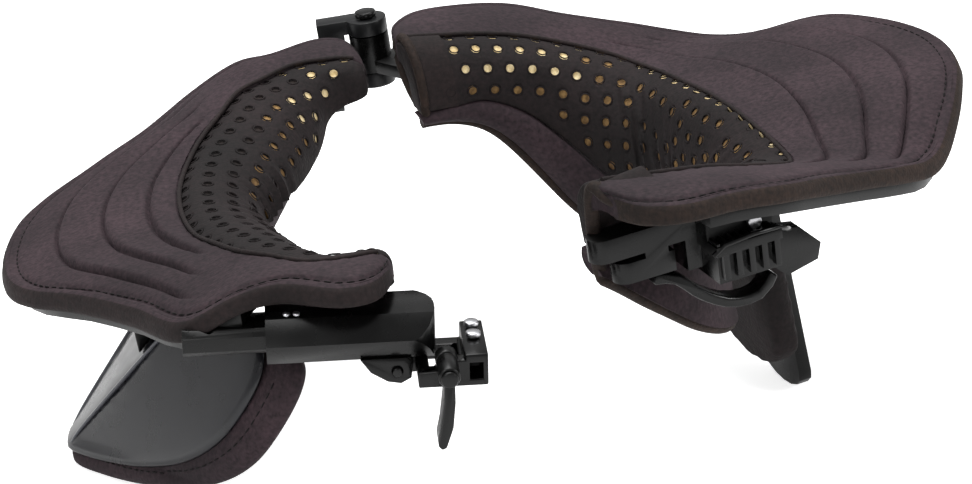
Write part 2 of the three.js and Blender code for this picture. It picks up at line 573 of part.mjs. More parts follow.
// Chest plate, folded along its keel, and the pad behind it
const slope = radians(plateSlope);
const plateNormal = new THREE.Vector3(-Math.sin(slope), 0, Math.cos(slope));
function onPlate(y, down, lift) {
  const past = Math.abs(y) - Math.max(6, foldHalf - foldNarrow * down);
  const out = (past + Math.hypot(past, 2)) / 2;
  return new THREE.Vector3(
    -(plateForward + down * Math.cos(slope) - out * plateSweep), y,
    -plateDrop - down * Math.sin(slope) + out * plateLift,
  ).addScaledVector(plateNormal, lift);
}
const plateRows = 7;
function plateBody(margin, hang, lift, thick, rounding, inset) {
  const half = [...plateOutline].reverse().map((o) => ({ ...o, side: -1 }));
  const columns = [...half, ...plateOutline.slice(1).map((o) => ({ ...o, side: 1 }))];
  const face = columns.map(({ out, top, bottom, side }) => {
    const y = side * out * (plateHalf + margin);
    const middle = ((top + bottom) * plateDown + hang) / 2;
    const reach = ((bottom - top) * plateDown + hang) / 2;
    return Array.from({ length: plateRows }, (_, k) => {
      const share = -Math.cos((k / (plateRows - 1)) * Math.PI);
      const edge = Math.max(Math.abs(share), out);
      const drop = rounding * Math.max(0, edge - 0.8) * 5;
      return { y, down: middle + share * reach, drop, innerY: y * (1 - inset / plateHalf), innerDown: middle + share * (reach - inset) };
    });
  });
  const top = face.map((row) => row.map(({ y, down, drop }) => onPlate(y, down, lift - drop)));
  const under = face.map((row) => row.map(({ innerY, innerDown }) => onPlate(innerY, innerDown, lift - thick)));
  return bodyBetween(top, under);
}
put(front, "chest_plate", plateBody(0, 0, 0, plateThick, 1, 0), satinPlastic);
put(front, "chest_pad", plateBody(padMargin, padHang, -plateThick - 2 * gap, padThick, 1.8, padInset), padFabric);

// Block that carries the chest plate under the front frame
const mountTop = -2;
const mountRows = [-13, -5, 4];
const mountColumns = [-18, -9, 0, 9, 18];
const mountFoot = mountColumns.map((y) => mountRows.map((down) => onPlate(y, down, gap)));
const mountHead = mountColumns.map((y) => mountRows.map((down, k) => new THREE.Vector3(-79 - 7 * k, y * 1.2, mountTop)));
const frameSpace = framePlate(frontSmooth, frontPlateFrom, frameThick + gap, 40);
put(front, "chest_mount", cut(bodyBetween(mountHead, mountFoot), frameSpace), glossPlastic);

// Rear strut down to the floor that the chest pad stands on, with its pad in front
const pitch = radians(collarPitch);
const opened = radians(openAngle);
const chestPad = front.getObjectByName("chest_pad");
chestPad.geometry.computeBoundingBox();
const floorDrop = (() => {
  const corners = chestPad.geometry.attributes.position;
  let lowest = Infinity;
  for (let i = 0; i < corners.count; i++) {
    lowest = Math.min(lowest, corners.getX(i) * Math.sin(pitch) + corners.getZ(i) * Math.cos(pitch));
  }
  return lowest;
})();
const strutAcross = (strutBack + strutLean * strutTop) * Math.cos(opened) + hingeSide * Math.sin(opened);
const strutTip = (floorDrop - strutAcross * Math.sin(pitch)) / (Math.cos(pitch) - Math.sin(pitch) * Math.cos(opened) * strutLean);
function hangingTongue(x, half, z) {
  const outline = [[-half, z[1]], [half, z[1]]];
  for (let k = 0; k <= 8; k++) {
    const turn = (k / 8) * Math.PI;
    outline.push([half * Math.cos(turn), z[0] + half * 0.6 * (1 - Math.sin(turn))]);
  }
  const lean = new THREE.Matrix4().set(1, 0, -strutLean, strutLean * strutTop, 0, 1, 0, 0, 0, 0, 1, 0, 0, 0, 0, 1);
  return bar(outline, x).applyMatrix4(lean);
}
// The foot's underside rises to the back more than square to the strut's face
const footSlope = 0.14;
const strutFace = strutBack + strutThick;
const footShape = boxBetween([strutBack, strutFoot], [-strutHalf, strutHalf], [strutTop - strutFootThick, strutTop]);
footShape.applyMatrix4(new THREE.Matrix4().set(1, 0, 0, 0, 0, 1, 0, 0, footSlope, 0, 1, -footSlope * strutFace, 0, 0, 0, 1));
put(rear, "rear_strut", cut(joined(
  hangingTongue([strutBack, strutFace], strutHalf, [strutTip, strutTop]),
  footShape,
), rearFrameSpace), glossPlastic);
put(rear, "rear_strut_pad", hangingTongue(
  [strutBack - gap - strutPadThick, strutBack - gap], strutPadHalf, [strutTip + strutShows, strutPadTop],
), padFabric);

// Rear half on the hinge, the collar's pitch, and the floor under the middle of the box
const rearOnHinge = new THREE.Group();
rear.position.set(0, -hingeSide, 0);
rearOnHinge.position.set(0, hingeSide, 0);
rearOnHinge.rotation.z = opened;
rearOnHinge.add(rear);
const collarPlane = new THREE.Group();
collarPlane.rotation.y = -pitch;
collarPlane.add(front, rearOnHinge);
const brace = new THREE.Group();
brace.name = "motocross_neck_brace";
brace.add(collarPlane);
brace.updateMatrixWorld(true);
const box = new THREE.Box3().setFromObject(brace, true);
collarPlane.position.set(-(box.min.x + box.max.x) / 2, -(box.min.y + box.max.y) / 2, -box.min.z);

export default brace;
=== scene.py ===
import json
import math

import bmesh
import bpy
from mathutils import Matrix, Vector, noise
from mathutils.bvhtree import BVHTree
from mathutils.kdtree import KDTree


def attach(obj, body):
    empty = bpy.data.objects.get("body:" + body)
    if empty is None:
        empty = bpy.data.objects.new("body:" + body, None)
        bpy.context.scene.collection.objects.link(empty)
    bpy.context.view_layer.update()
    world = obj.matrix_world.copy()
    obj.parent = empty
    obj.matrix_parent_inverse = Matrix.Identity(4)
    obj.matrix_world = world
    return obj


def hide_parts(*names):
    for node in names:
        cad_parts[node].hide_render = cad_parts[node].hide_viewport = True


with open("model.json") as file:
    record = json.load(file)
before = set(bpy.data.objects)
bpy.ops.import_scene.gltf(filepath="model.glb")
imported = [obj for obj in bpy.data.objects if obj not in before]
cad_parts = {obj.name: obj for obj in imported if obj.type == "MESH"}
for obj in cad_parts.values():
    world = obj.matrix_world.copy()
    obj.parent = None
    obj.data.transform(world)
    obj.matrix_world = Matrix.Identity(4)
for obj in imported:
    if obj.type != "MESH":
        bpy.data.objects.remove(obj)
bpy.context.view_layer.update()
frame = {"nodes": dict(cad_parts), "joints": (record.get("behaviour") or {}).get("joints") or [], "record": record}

mm = 0.001

# Whole brace, the sizes that the pads and the trim share with the solids, in millimetres
brace = {
    "gap": 0.4,             # between touching pieces
    "collarPitch": 7.9,     # degrees, the front hangs lower than the back
    "openAngle": 17.7,      # degrees, rear half swung open
    "hingeSide": 122,
    "outerHalf": 115, "seamHalf": 89.5, "rise": 12,
    "tableThick": 9, "tableEdge": 6, "tableCrown": 1.5,
    "collarThick": 7, "collarCrown": 1.6, "skirtThick": 6, "skirtBulge": 2, "nearSag": 24,
    "steps": 6,             # sections drawn between two rows of a table
}
# A groove is its share of the way from the seam to the edge, and the section where it ends
halves = {
    "front": {"ahead": -1, "reach": 133, "seamReach": 70.5, "neckReach": 43.5, "neckSide": 79, "neckZ": 12,
              "grooves": ((0.17, 6.1), (0.42, 5.6), (0.68, 5.3)), "folds": (6, 9.5), "body": "front_half"},
    "rear": {"ahead": 1, "reach": 171, "seamReach": 85, "neckReach": 69, "neckSide": 70, "neckZ": 50, "rimZ": 68,
             "grooves": ((0.25, 6.7), (0.52, 7.2), (0.74, 7.9)), "folds": (6.5, 10.5), "body": "rear_half"},
}

# Half tables, arm end to middle, as shares of the sizes above
# edgeX, edgeY, edgeZ, seamX, seamY, seamZ, neckX, neckY, neckZ, and behind also rimX, rimY, rimZ, sag
columns = ("edgeX", "edgeY", "edgeZ", "seamX", "seamY", "seamZ", "neckX", "neckY", "neckZ", "rimX", "rimY", "rimZ", "sag")
tables = {
    "front": (
        (0.026, 0.850, 0.81, 0.043, 0.961, 0.83, 0.069, 1.000, -0.17),
        (0.068, 0.958, 0.94, 0.113, 0.983, 0.96, 0.184, 1.006, -0.21),
        (0.150, 0.985, 1.04, 0.241, 1.000, 1.00, 0.333, 1.000, -0.33),
        (0.282, 0.906, 1.06, 0.411, 0.983, 1.03, 0.460, 0.949, -0.60),
        (0.383, 0.910, 0.96, 0.567, 0.883, 1.02, 0.540, 0.835, -1.00),
        (0.522, 0.875, 0.30, 0.702, 0.788, 0.97, 0.632, 0.684, -1.20),
        (0.639, 0.684, 0.09, 0.809, 0.626, 0.75, 0.724, 0.506, -1.25),
        (0.782, 0.491, -0.10, 0.901, 0.475, 0.56, 0.840, 0.329, -1.25),
        (0.910, 0.343, -0.35, 0.957, 0.313, 0.45, 0.931, 0.177, -1.25),
        (0.977, 0.200, -0.49, 0.989, 0.156, 0.42, 0.984, 0.080, -1.25),
        (1.000, 0.000, -0.55, 1.000, 0.000, 0.42, 1.000, 0.000, -1.25),
    ),
    "rear": (
        (0.005, 0.850, 1.19, -0.024, 0.939, 1.42, -0.029, 1.000, -0.16, -0.029, 1.020, -0.20, 0.20),
        (0.034, 0.936, 1.20, 0.045, 0.933, 1.37, 0.055, 0.993, -0.16, 0.055, 1.020, -0.20, 0.32),
        (0.098, 0.997, 1.23, 0.162, 0.925, 1.21, 0.185, 0.979, -0.17, 0.178, 1.010, -0.22, 0.62),
        (0.198, 0.989, 1.12, 0.314, 0.911, 1.00, 0.345, 0.957, -0.19, 0.325, 0.990, -0.27, 0.92),
        (0.308, 0.967, 0.81, 0.469, 0.886, 0.73, 0.533, 0.900, -0.34, 0.490, 0.940, -0.43, 0.80),
        (0.419, 0.886, 0.27, 0.611, 0.855, 0.38, 0.693, 0.807, -0.58, 0.630, 0.857, -0.75, 0.30),
        (0.530, 0.816, -0.24, 0.753, 0.804, -0.02, 0.810, 0.686, -0.80, 0.750, 0.757, -0.90, 0),
        (0.636, 0.748, -0.74, 0.871, 0.743, -0.38, 0.895, 0.514, -0.92, 0.850, 0.600, -0.96, 0),
        (0.718, 0.684, -1.06, 0.941, 0.659, -0.61, 0.953, 0.343, -0.98, 0.925, 0.414, -0.985, 0),
        (0.794, 0.583, -0.98, 0.971, 0.492, -0.58, 0.982, 0.200, -1.00, 0.965, 0.243, -1.00, 0),
        (0.899, 0.404, -0.31, 0.988, 0.302, -0.53, 0.993, 0.100, -1.00, 0.985, 0.120, -1.00, 0),
        (0.969, 0.217, -0.19, 0.998, 0.134, -0.48, 0.998, 0.043, -1.00, 0.996, 0.050, -1.00, 0),
        (1.000, 0.000, -0.19, 1.000, 0.000, -0.47, 1.000, 0.000, -1.00, 1.000, 0.000, -1.00, 0),
    ),
}

cosPitch, sinPitch = math.cos(math.radians(brace["collarPitch"])), math.sin(math.radians(brace["collarPitch"]))
cosOpen, sinOpen = math.cos(math.radians(brace["openAngle"])), math.sin(math.radians(brace["openAngle"]))
mainHinge = next(joint for joint in frame["joints"] if joint["name"] == "main_hinge")
collarOrigin = Vector(mainHinge["pos_m"]) - Vector((0, brace["hingeSide"] * mm, 0))


# From a half's own millimetres to the part's metres
def toPart(point, half):
    x, y, z = point
    if half == "rear":
        past = y - brace["hingeSide"]
        x, y = x * cosOpen - past * sinOpen, x * sinOpen + past * cosOpen + brace["hingeSide"]
    return Vector((x * cosPitch - z * sinPitch, y, x * sinPitch + z * cosPitch)) * mm + collarOrigin


def directionToPart(direction, half):
    return (toPart(direction, half) - toPart((0, 0, 0), half)).normalized()


def smoothStep(value, low, high):
    share = min(max((value - low) / (high - low), 0), 1)
    return share * share * (3 - 2 * share)


# Colours are sRGB hex, turned to linear here
def linear(hexCode):
    shares = [int(hexCode[i:i + 2], 16) / 255 for i in (1, 3, 5)]
    return tuple(c / 12.92 if c <= 0.04045 else ((c + 0.055) / 1.055) ** 2.4 for c in shares) + (1.0,)


def addNode(tree, kind, inputs=None, **settings):
    node = tree.nodes.new(kind)
    for key, value in settings.items():
        setattr(node, key, value)
    for key, value in (inputs or {}).items():
        if isinstance(value, bpy.types.NodeSocket):
            tree.links.new(value, node.inputs[key])
        else:
            node.inputs[key].default_value = value
    return node


def newMaterial(name, shaderInputs):
    material = bpy.data.materials.new(name)
    material.use_nodes = True
    tree = material.node_tree
    tree.nodes.clear()
    shader = addNode(tree, "ShaderNodeBsdfPrincipled", shaderInputs)
    output = addNode(tree, "ShaderNodeOutputMaterial", {"Surface": shader.outputs[0]})
    place = addNode(tree, "ShaderNodeTexCoord").outputs["Object"]
    return material, tree, shader, place


# Polyester knit laminated on foam: matt threads, a soft sheen at grazing angles
def fabricMaterial(name, dark, light, thread, depth, sheen, tint):
    material, tree, shader, place = newMaterial(name, {
        "Roughness": 0.82, "Sheen Weight": sheen, "Sheen Roughness": 0.45, "Sheen Tint": linear(tint), "IOR": 1.5,
        "Specular IOR Level": 0.3,
    })
    patch = addNode(tree, "ShaderNodeTexNoise", {"Vector": place, "Scale": 1000 / 38, "Detail": 4.0})
    fuzz = addNode(tree, "ShaderNodeTexNoise", {"Vector": place, "Scale": 1000 / 1.6, "Detail": 2.0})
    knit = addNode(tree, "ShaderNodeTexVoronoi", {"Vector": place, "Scale": 1000 / thread, "Randomness": 0.55})
    shade = addNode(tree, "ShaderNodeMath", {0: patch.outputs["Fac"], 1: fuzz.outputs["Fac"]}, operation="MULTIPLY")
    spread = addNode(tree, "ShaderNodeMapRange", {"Value": shade.outputs[0], "From Min": 0.12, "From Max": 0.42})
    colour = addNode(tree, "ShaderNodeMix", {0: spread.outputs[0], 6: linear(dark), 7: linear(light)}, data_type="RGBA")
    tree.links.new(colour.outputs[2], shader.inputs["Base Color"])
    height = addNode(tree, "ShaderNodeMath", {0: knit.outputs["Distance"], 1: fuzz.outputs["Fac"]}, operation="ADD")
    bump = addNode(tree, "ShaderNodeBump", {"Height": height.outputs[0], "Strength": 0.6, "Distance": depth * mm})
    tree.links.new(bump.outputs[0], shader.inputs["Normal"])
    return material


# Injection moulded nylon: a fine spark-eroded grain, rubbed a little smoother where it is handled
def plasticMaterial(name, dark, light, smooth, rough, coat):
    material, tree, shader, place = newMaterial(name, {
        "IOR": 1.5, "Specular IOR Level": 0.28, "Coat Weight": coat, "Coat Roughness": 0.15,
    })
    cloud = addNode(tree, "ShaderNodeTexNoise", {"Vector": place, "Scale": 1000 / 14, "Detail": 5.0})
    grain = addNode(tree, "ShaderNodeTexNoise", {"Vector": place, "Scale": 1000 / 0.7, "Detail": 2.0})
    colour = addNode(tree, "ShaderNodeMix", {0: cloud.outputs["Fac"], 6: linear(dark), 7: linear(light)}, data_type="RGBA")
    tree.links.new(colour.outputs[2], shader.inputs["Base Color"])
    spread = addNode(tree, "ShaderNodeMapRange", {
        "Value": cloud.outputs["Fac"], "From Min": 0.3, "From Max": 0.7, "To Min": smooth, "To Max": rough,
    })
    tree.links.new(spread.outputs[0], shader.inputs["Roughness"])
    bump = addNode(tree, "ShaderNodeBump", {"Height": grain.outputs["Fac"], "Strength": 0.25, "Distance": 0.05 * mm})
    tree.links.new(bump.outputs[0], shader.inputs["Normal"])
    return material


# Stainless steel, turned and tumbled: bright with faint tool marks
def steelMaterial(name):
    material, tree, shader, place = newMaterial(name, {"Base Color": linear("#cfcfd2"), "Metallic": 1.0})
    marks = addNode(tree, "ShaderNodeTexNoise", {"Vector": place, "Scale": 1000 / 0.9, "Detail": 3.0})
    spread = addNode(tree, "ShaderNodeMapRange", {"Value": marks.outputs["Fac"], "To Min": 0.2, "To Max": 0.42})
    tree.links.new(spread.outputs[0], shader.inputs["Roughness"])
    bump = addNode(tree, "ShaderNodeBump", {"Height": marks.outputs["Fac"], "Strength": 0.2, "Distance": 0.03 * mm})
    tree.links.new(bump.outputs[0], shader.inputs["Normal"])
    return material


materials = {
    "tableFabric": fabricMaterial("Brushed polyester knit", "#1b1317", "#3a2c31", 1.3, 0.14, 0.06, "#8f7c88"),
    "liningFabric": fabricMaterial("Perforated polyester lining", "#0b0707", "#1f1617", 1.5, 0.22, 0.02, "#8a7a80"),
    "bindingTape": fabricMaterial("Ribbed polyester binding", "#17100d", "#31241e", 1.0, 0.22, 0.04, "#a08a80"),
    "sideFabric": fabricMaterial("Side wall knit", "#100a0a", "#251b1b", 1.1, 0.18, 0.03, "#8f7c80"),
    # The foam in the holes comes in three copies: painted bright as if lit, in painted shade, and in deeper painted
    # shade
    "foam": fabricMaterial("Open cell foam", "#cdb078", "#fbe8bb", 0.9, 0.1, 0.0, "#ffffff"),
    "shadedFoam": fabricMaterial("Open cell foam in shade", "#4d3722", "#9a7a4c", 0.9, 0.1, 0.0, "#ffffff"),
    "deepShadeFoam": fabricMaterial("Open cell foam in deep painted shade", "#0e0909", "#241a16", 0.9, 0.1, 0.0, "#ffffff"),
    "thread": fabricMaterial("Bonded polyester thread", "#060404", "#120d0e", 0.5, 0.05, 0.0, "#8a7a80"),
    "gloss_plastic": plasticMaterial("Black moulded nylon", "#020202", "#080808", 0.2, 0.34, 0.0),
    "satin_plastic": plasticMaterial("Dark grey moulded nylon", "#101013", "#1e1e23", 0.24, 0.36, 0.25),
    "grey_plastic": plasticMaterial("Grey moulded nylon", "#121213", "#1c1d1e", 0.3, 0.45, 0.0),
    # The keel bead is painted lighter than the plate to stand for a highlight along the fold
    "keelPaintedHighlight": plasticMaterial("Keel bead painted light as a highlight", "#3c3d42", "#54555b", 0.2, 0.3, 0.3),
    "dark_steel": plasticMaterial("Blackened steel", "#0a0a0a", "#141414", 0.22, 0.3, 0.0),
    "bright_steel": steelMaterial("Tumbled stainless steel"),
}
print("materials made")

bodyOf = {node: body for body, nodes in frame["record"]["behaviour"]["bodies"].items() for node in nodes}
slotOf = {row["node"]: row["material_slot"] for row in frame["record"]["subparts"]}


# Sections from the near arm end, through the middle, to the far arm end
def smoothSections(half):
    sizes, rows = halves[half], tables[half]
    stations = [(row, -1) for row in rows] + [(row, 1) for row in rows[-2::-1]]

    def value(i, column):
        row, side = stations[min(max(i, 0), len(stations) - 1)]
        return row[column] * (side if columns[column].endswith("Y") else 1)

    sections = []
    steps = brace["steps"]
    for k in range((len(stations) - 1) * steps + 1):
        i = min(k // steps, len(stations) - 2)
        t = k / steps - i
        share = {}
        for column in range(len(rows[0])):
            a, b, c, d = (value(i + offset, column) for offset in (-1, 0, 1, 2))
            share[columns[column]] = b + 0.5 * t * (c - a + t * (2 * a - 5 * b + 4 * c - d + t * (3 * (b - c) + d - a)))
        ahead = sizes["ahead"]
        section = {
            "place": k / steps,
            "inward": min(k / steps, len(stations) - 1 - k / steps),
            "edge": Vector((ahead * share["edgeX"] * sizes["reach"], share["edgeY"] * brace["outerHalf"],
                            share["edgeZ"] * brace["rise"])),
            "seam": Vector((ahead * share["seamX"] * sizes["seamReach"], share["seamY"] * brace["seamHalf"],
                            share["seamZ"] * brace["rise"])),
            "neck": Vector((ahead * share["neckX"] * sizes["neckReach"], share["neckY"] * sizes["neckSide"],
                            share["neckZ"] * sizes["neckZ"])),
        }
        if "rimZ" in sizes:
            sag = share["sag"] * brace["nearSag"] if share["rimY"] < 0 else 0
            section["rim"] = Vector((ahead * share["rimX"] * sizes["neckReach"], share["rimY"] * sizes["neckSide"],
                                     share["rimZ"] * sizes["rimZ"] - sag))
        sections.append(section)
    return sections


sectionsOf = {half: smoothSections(half) for half in halves}


def newObject(name, mesh, material):
    piece = bpy.data.objects.new(name, mesh)
    bpy.context.scene.collection.objects.link(piece)
    if material:
        mesh.materials.clear()
        mesh.materials.append(materials[material])
    return piece


# Rings of points closed round and capped at both ends
def sweep(name, rings, material):
    form = bmesh.new()
    made = [[form.verts.new(point) for point in ring] for ring in rings]
    count = len(rings[0])
    for a, b in zip(made, made[1:]):
        for k in range(count):
            form.faces.new((a[k], a[(k + 1) % count], b[(k + 1) % count], b[k]))
    form.faces.new(made[0])
    form.faces.new(made[-1])
    bmesh.ops.recalc_face_normals(form, faces=form.faces)
    mesh = bpy.data.meshes.new(name)
    form.to_mesh(mesh)
    form.free()
    piece = newObject(name, mesh, material)
    piece["bands"] = [k for _ in rings[1:] for k in range(count)] + [-1, -1]
    return piece


# Loops of points closed into a hollow band: out along one wall and back along the other
def hollowBand(name, loops, material):
    form = bmesh.new()
    made = [[form.verts.new(point) for point in loop] for loop in loops]
    count = len(loops[0])
    for a, b in zip(made, made[1:] + made[:1]):
        for k in range(count):
            form.faces.new((a[k], a[(k + 1) % count], b[(k + 1) % count], b[k]))
    bmesh.ops.recalc_face_normals(form, faces=form.faces)
    mesh = bpy.data.meshes.new(name)
    form.to_mesh(mesh)
    form.free()
    return newObject(name, mesh, material)


# Turns what the modifiers make into the plain mesh
def plain(piece):
    graph = bpy.context.evaluated_depsgraph_get()
    mesh = bpy.data.meshes.new_from_object(piece.evaluated_get(graph), depsgraph=graph)
    piece.modifiers.clear()
    piece.data = mesh
    return piece


def smoothShade(piece, angle=40):
    for face in piece.data.polygons:
        face.use_smooth = True
    piece.data.set_sharp_from_angle(angle=math.radians(angle))


def roundEdges(piece, width, segments, angle):
    bevel = piece.modifiers.new("round", "BEVEL")
    bevel.width = width * mm
    bevel.segments = segments
    bevel.limit_method = "ANGLE"
    bevel.angle_limit = math.radians(angle)
    return plain(piece)


def subdivide(piece, levels=1):
    subdivision = piece.modifiers.new("subdivide", "SUBSURF")
    subdivision.levels = subdivision.render_levels = levels
    return plain(piece)


# Inflates a pad a little with the cloth solver, no point further than the cap
def inflate(piece, cap, pressure=4.0, frames=18):
    rest = [v.co.copy() for v in piece.data.vertices]
    cloth = piece.modifiers.new("cloth", "CLOTH")
    cloth.settings.use_pressure = True
    cloth.settings.uniform_pressure_force = pressure
    cloth.settings.effector_weights.gravity = 0
    cloth.settings.quality = 4
    cloth.point_cache.frame_start = 1
    cloth.point_cache.frame_end = frames
    for step in range(1, frames + 1):
        bpy.context.scene.frame_set(step)
    graph = bpy.context.evaluated_depsgraph_get()
    blown = [v.co.copy() for v in piece.evaluated_get(graph).data.vertices]
    piece.modifiers.remove(cloth)
    bpy.context.scene.frame_set(1)
    for vertex, start, end in zip(piece.data.vertices, rest, blown):
        move = end - start
        if move.length > cap * mm:
            move = move.normalized() * cap * mm
        vertex.co = start + move


# Soft dents and folds of the cover, from a fixed noise field
def ruffle(piece, height, size):
    for vertex in piece.data.vertices:
        vertex.co = vertex.co + vertex.normal * (noise.noise(vertex.co / (size * mm)) * height * mm)


def declare(piece, node, body):
    if node:
        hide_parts(node)
    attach(piece, body)
    return piece


# Table pads: moulded foam with three pressed grooves, a rolled edge and a soft side wall
table = {
    "grooveWide": 0.9, "grooveDeep": 1.7, "shoulderWide": 6.0, "shoulderHigh": 1.8, "roll": 3.0, "evenSteps": 44,
    "gatherDeep": 0.4, "gatherCount": 2.1, "creaseIn": 2.2, "creaseWide": 0.9, "creaseDeep": 1.1,
}


def tableHeight(section, across, grooves):
    wide = (section["edge"] - section["seam"]).to_2d().length
    height = brace["tableCrown"] * math.sin(math.pi * across)
    for share, end in grooves:
        away = (across - share) * wide
        pressed = smoothStep(section["inward"], end - 0.3, end + 0.3)
        height -= pressed * table["grooveDeep"] * math.exp(-(away / table["grooveWide"]) ** 2)
        rolled = smoothStep(section["inward"], end - 0.5, end + 1.5)
        inside = max(-away, 0)
        height += rolled * table["shoulderHigh"] * (1 - math.exp(-inside / 0.8)) * math.exp(-inside / table["shoulderWide"])
    creaseAway = wide * (1 - across) - table["roll"] - table["creaseIn"]
    height -= table["creaseDeep"] * math.exp(-(creaseAway / table["creaseWide"]) ** 2)
    gathers = math.exp(-across / 0.16) * math.sin(section["place"] * table["gatherCount"] * 2 * math.pi)
    folds = table["gatherDeep"] * gathers * (0.5 + noise.noise(Vector((section["place"], across * 3, 0))))
    return height + folds


def tablePoint(section, across, grooves):
    point = section["seam"].lerp(section["edge"], across)
    point.z += tableHeight(section, across, grooves)
    return point


# Shares of the way across where a ring has a point, closer together at the creases
def acrossPlaces(grooves):
    near = [share + step for share, _ in grooves for step in (-0.036, -0.024, -0.015, -0.008, 0, 0.008, 0.015, 0.024)]
    even = [k / table["evenSteps"] for k in range(table["evenSteps"] + 1)]
    return sorted(near + [place for place in even if min(abs(place - share + 0.006) for share, _ in grooves) > 0.036])


def tableRing(section, half):
    grooves = halves[half]["grooves"]
    seam, edge = section["seam"], section["edge"]
    wide = (edge - seam).to_2d().length
    outward = Vector(((edge.x - seam.x) / wide, (edge.y - seam.y) / wide, 0))
    flat = 1 - table["roll"] / wide
    ring = [seam + Vector((0, 0, -1.4)) + outward * 0.3, seam + Vector((0, 0, -0.4)) + outward * 0.7]
    ring += [tablePoint(section, min(max(place, 1.4 / wide), flat), grooves) if 0 < place < 1 else
             tablePoint(section, 1.4 / wide if place == 0 else flat, grooves) for place in acrossPlaces(grooves)]
    top = ring[-1]
    for k in range(1, 7):
        turn = k / 6 * math.pi / 2
        ring.append(top + outward * table["roll"] * math.sin(turn) + Vector((0, 0, -table["roll"] * (1 - math.cos(turn)))))
    bottom = edge.z - brace["tableEdge"]
    wall = ring[-1]
    for share, bulge in ((0.35, 0.5), (0.7, 0.4), (0.92, 0), (1, -0.9)):
        ring.append(Vector((wall.x, wall.y, wall.z + (bottom - wall.z) * share)) + outward * bulge)
    for across in (0.85, 0.6, 0.35, 0.1, 0):
        under = seam.lerp(edge, across)
        under.z += brace["tableCrown"] * math.sin(math.pi * across)
        under.z -= brace["tableThick"] + (brace["tableEdge"] - brace["tableThick"]) * across
        ring.append(under)
    return ring


# The arms of the front half end rounded: the last rings shrink about a point under the seam
rounding = {"front": (0.45, 0.68, 0.8, 0.88, 0.93, 0.965, 0.985, 0.995), "rear": (0.93, 0.98)}


def roundedRings(rings, half):
    for end, step in ((0, 1), (len(rings) - 1, -1)):
        section = sectionsOf[half][end]
        middle = section["seam"] * 0.5 + section["neck"] * 0.25 + section["edge"] * 0.25 - Vector((0, 0, 4))
        for k, scale in enumerate(rounding[half]):
            rings[end + step * k] = [middle + (point - middle) * scale + (point - middle).project(
                Vector((1, 0, 0))) * (1 - scale) for point in rings[end + step * k]]
    return [[toPart(point, half) for point in ring] for ring in rings]


for half in halves:
    pad = sweep(f"{half}_table_cover", roundedRings([tableRing(s, half) for s in sectionsOf[half]], half), "tableFabric")
    wallStart = len(acrossPlaces(halves[half]["grooves"])) + 3
    pad.data.materials.append(materials["bindingTape" if half == "rear" else "sideFabric"])
    for face, band in zip(pad.data.polygons, pad["bands"]):
        if wallStart <= band < wallStart + 9:
            face.material_index = 1
    del pad["bands"]
    roundEdges(pad, 1.6, 3, 62)
    ruffle(pad, 0.22, 18)
    smoothShade(pad, 55)
    declare(pad, f"{half}_table_pad", halves[half]["body"])
print("table pads made")

# Collar pads: the perforated lining, rounded from the seam down into the neck hole
collar = {"aroundSteps": 14, "underSteps": 5, "cap": 1.2, "foldDeep": 1.3, "foldCount": 1.9}


def collarPoint(section, turn):
    seam, neck = section["seam"], section["neck"]
    inward = (neck - seam).to_2d()
    wide = inward.length
    inward = inward.normalized()
    crown = brace["collarCrown"] * math.sin(2 * turn)
    along = brace["gap"] + (wide - brace["gap"]) * math.sin(turn) + crown * math.sin(turn)
    down = (neck.z - seam.z) * (1 - math.cos(turn)) + crown * math.cos(turn)
    return Vector((seam.x + inward.x * along, seam.y + inward.y * along, seam.z + down))


def collarUnder(section, turn):
    seam, neck = section["seam"], section["neck"]
    inward = (neck - seam).to_2d()
    wide = inward.length
    inward = inward.normalized()
    thick = brace["collarThick"]
    along = brace["gap"] + (wide - brace["gap"] - thick) * math.sin(turn)
    down = (neck.z - seam.z + thick) * (1 - math.cos(turn)) - thick
    return Vector((seam.x + inward.x * along, seam.y + inward.y * along, seam.z + down))


# The lining gathers into small folds at the tight corner
def foldedPoint(section, turn, between):
    inward = (section["neck"] - section["seam"]).to_2d().normalized()
    near = smoothStep(section["inward"], between[0], between[0] + 1) * (1 - smoothStep(section["inward"], between[1] - 1, between[1]))
    wave = math.sin(section["place"] * collar["foldCount"] * 2 * math.pi)
    depth = collar["foldDeep"] * near * wave * math.sin(turn) ** 2
    return collarPoint(section, turn) - Vector((inward.x, inward.y, 0)) * depth


collarCovers = {}
for half in halves:
    over, under = collar["aroundSteps"], collar["underSteps"]
    rings = []
    for section in sectionsOf[half]:
        ring = [foldedPoint(section, k / over * math.pi / 2, halves[half]["folds"]) for k in range(over + 1)]
        ring += [collarUnder(section, (1 - k / under) * math.pi / 2) for k in range(under + 1)]
        rings.append(ring)
    pad = sweep(f"{half}_collar_cover", roundedRings(rings, half), "liningFabric")
    inflate(pad, collar["cap"])
    roundEdges(pad, 1.8, 2, 50)
    ruffle(pad, 0.3, 16)
    subdivide(pad, 2)
    smoothShade(pad, 60)
    collarCovers[half] = pad
    declare(pad, f"{half}_collar_pad", halves[half]["body"])
print("collar pads made")

# Shoulder pad: the soft skirt that hangs from the rear collar
skirt = {"downSteps": 9, "cap": 1.6}


# The rim runs in one calm curve
def calmRims(sections, reach=7):
    for i, section in enumerate(sections):
        near = [sections[min(max(i + k, 0), len(sections) - 1)]["rim"] for k in range(-reach, reach + 1)]
        section["calmRim"] = sum(near, Vector()) / len(near)


calmRims(sectionsOf["rear"])


def skirtRing(section):
    seam, neck, rim = section["seam"], section["neck"], section["calmRim"]
    inward = Vector((neck.x - seam.x, neck.y - seam.y, 0)).normalized()
    start = neck + Vector((0, 0, -brace["gap"]))
    face = [start.lerp(rim, k / skirt["downSteps"]) + inward * brace["skirtBulge"] * math.sin(math.pi * k / skirt["downSteps"])
            for k in range(skirt["downSteps"] + 1)]
    back = [point - inward * brace["skirtThick"] for point in reversed(face)]
    return [toPart(point, "rear") for point in face + back]


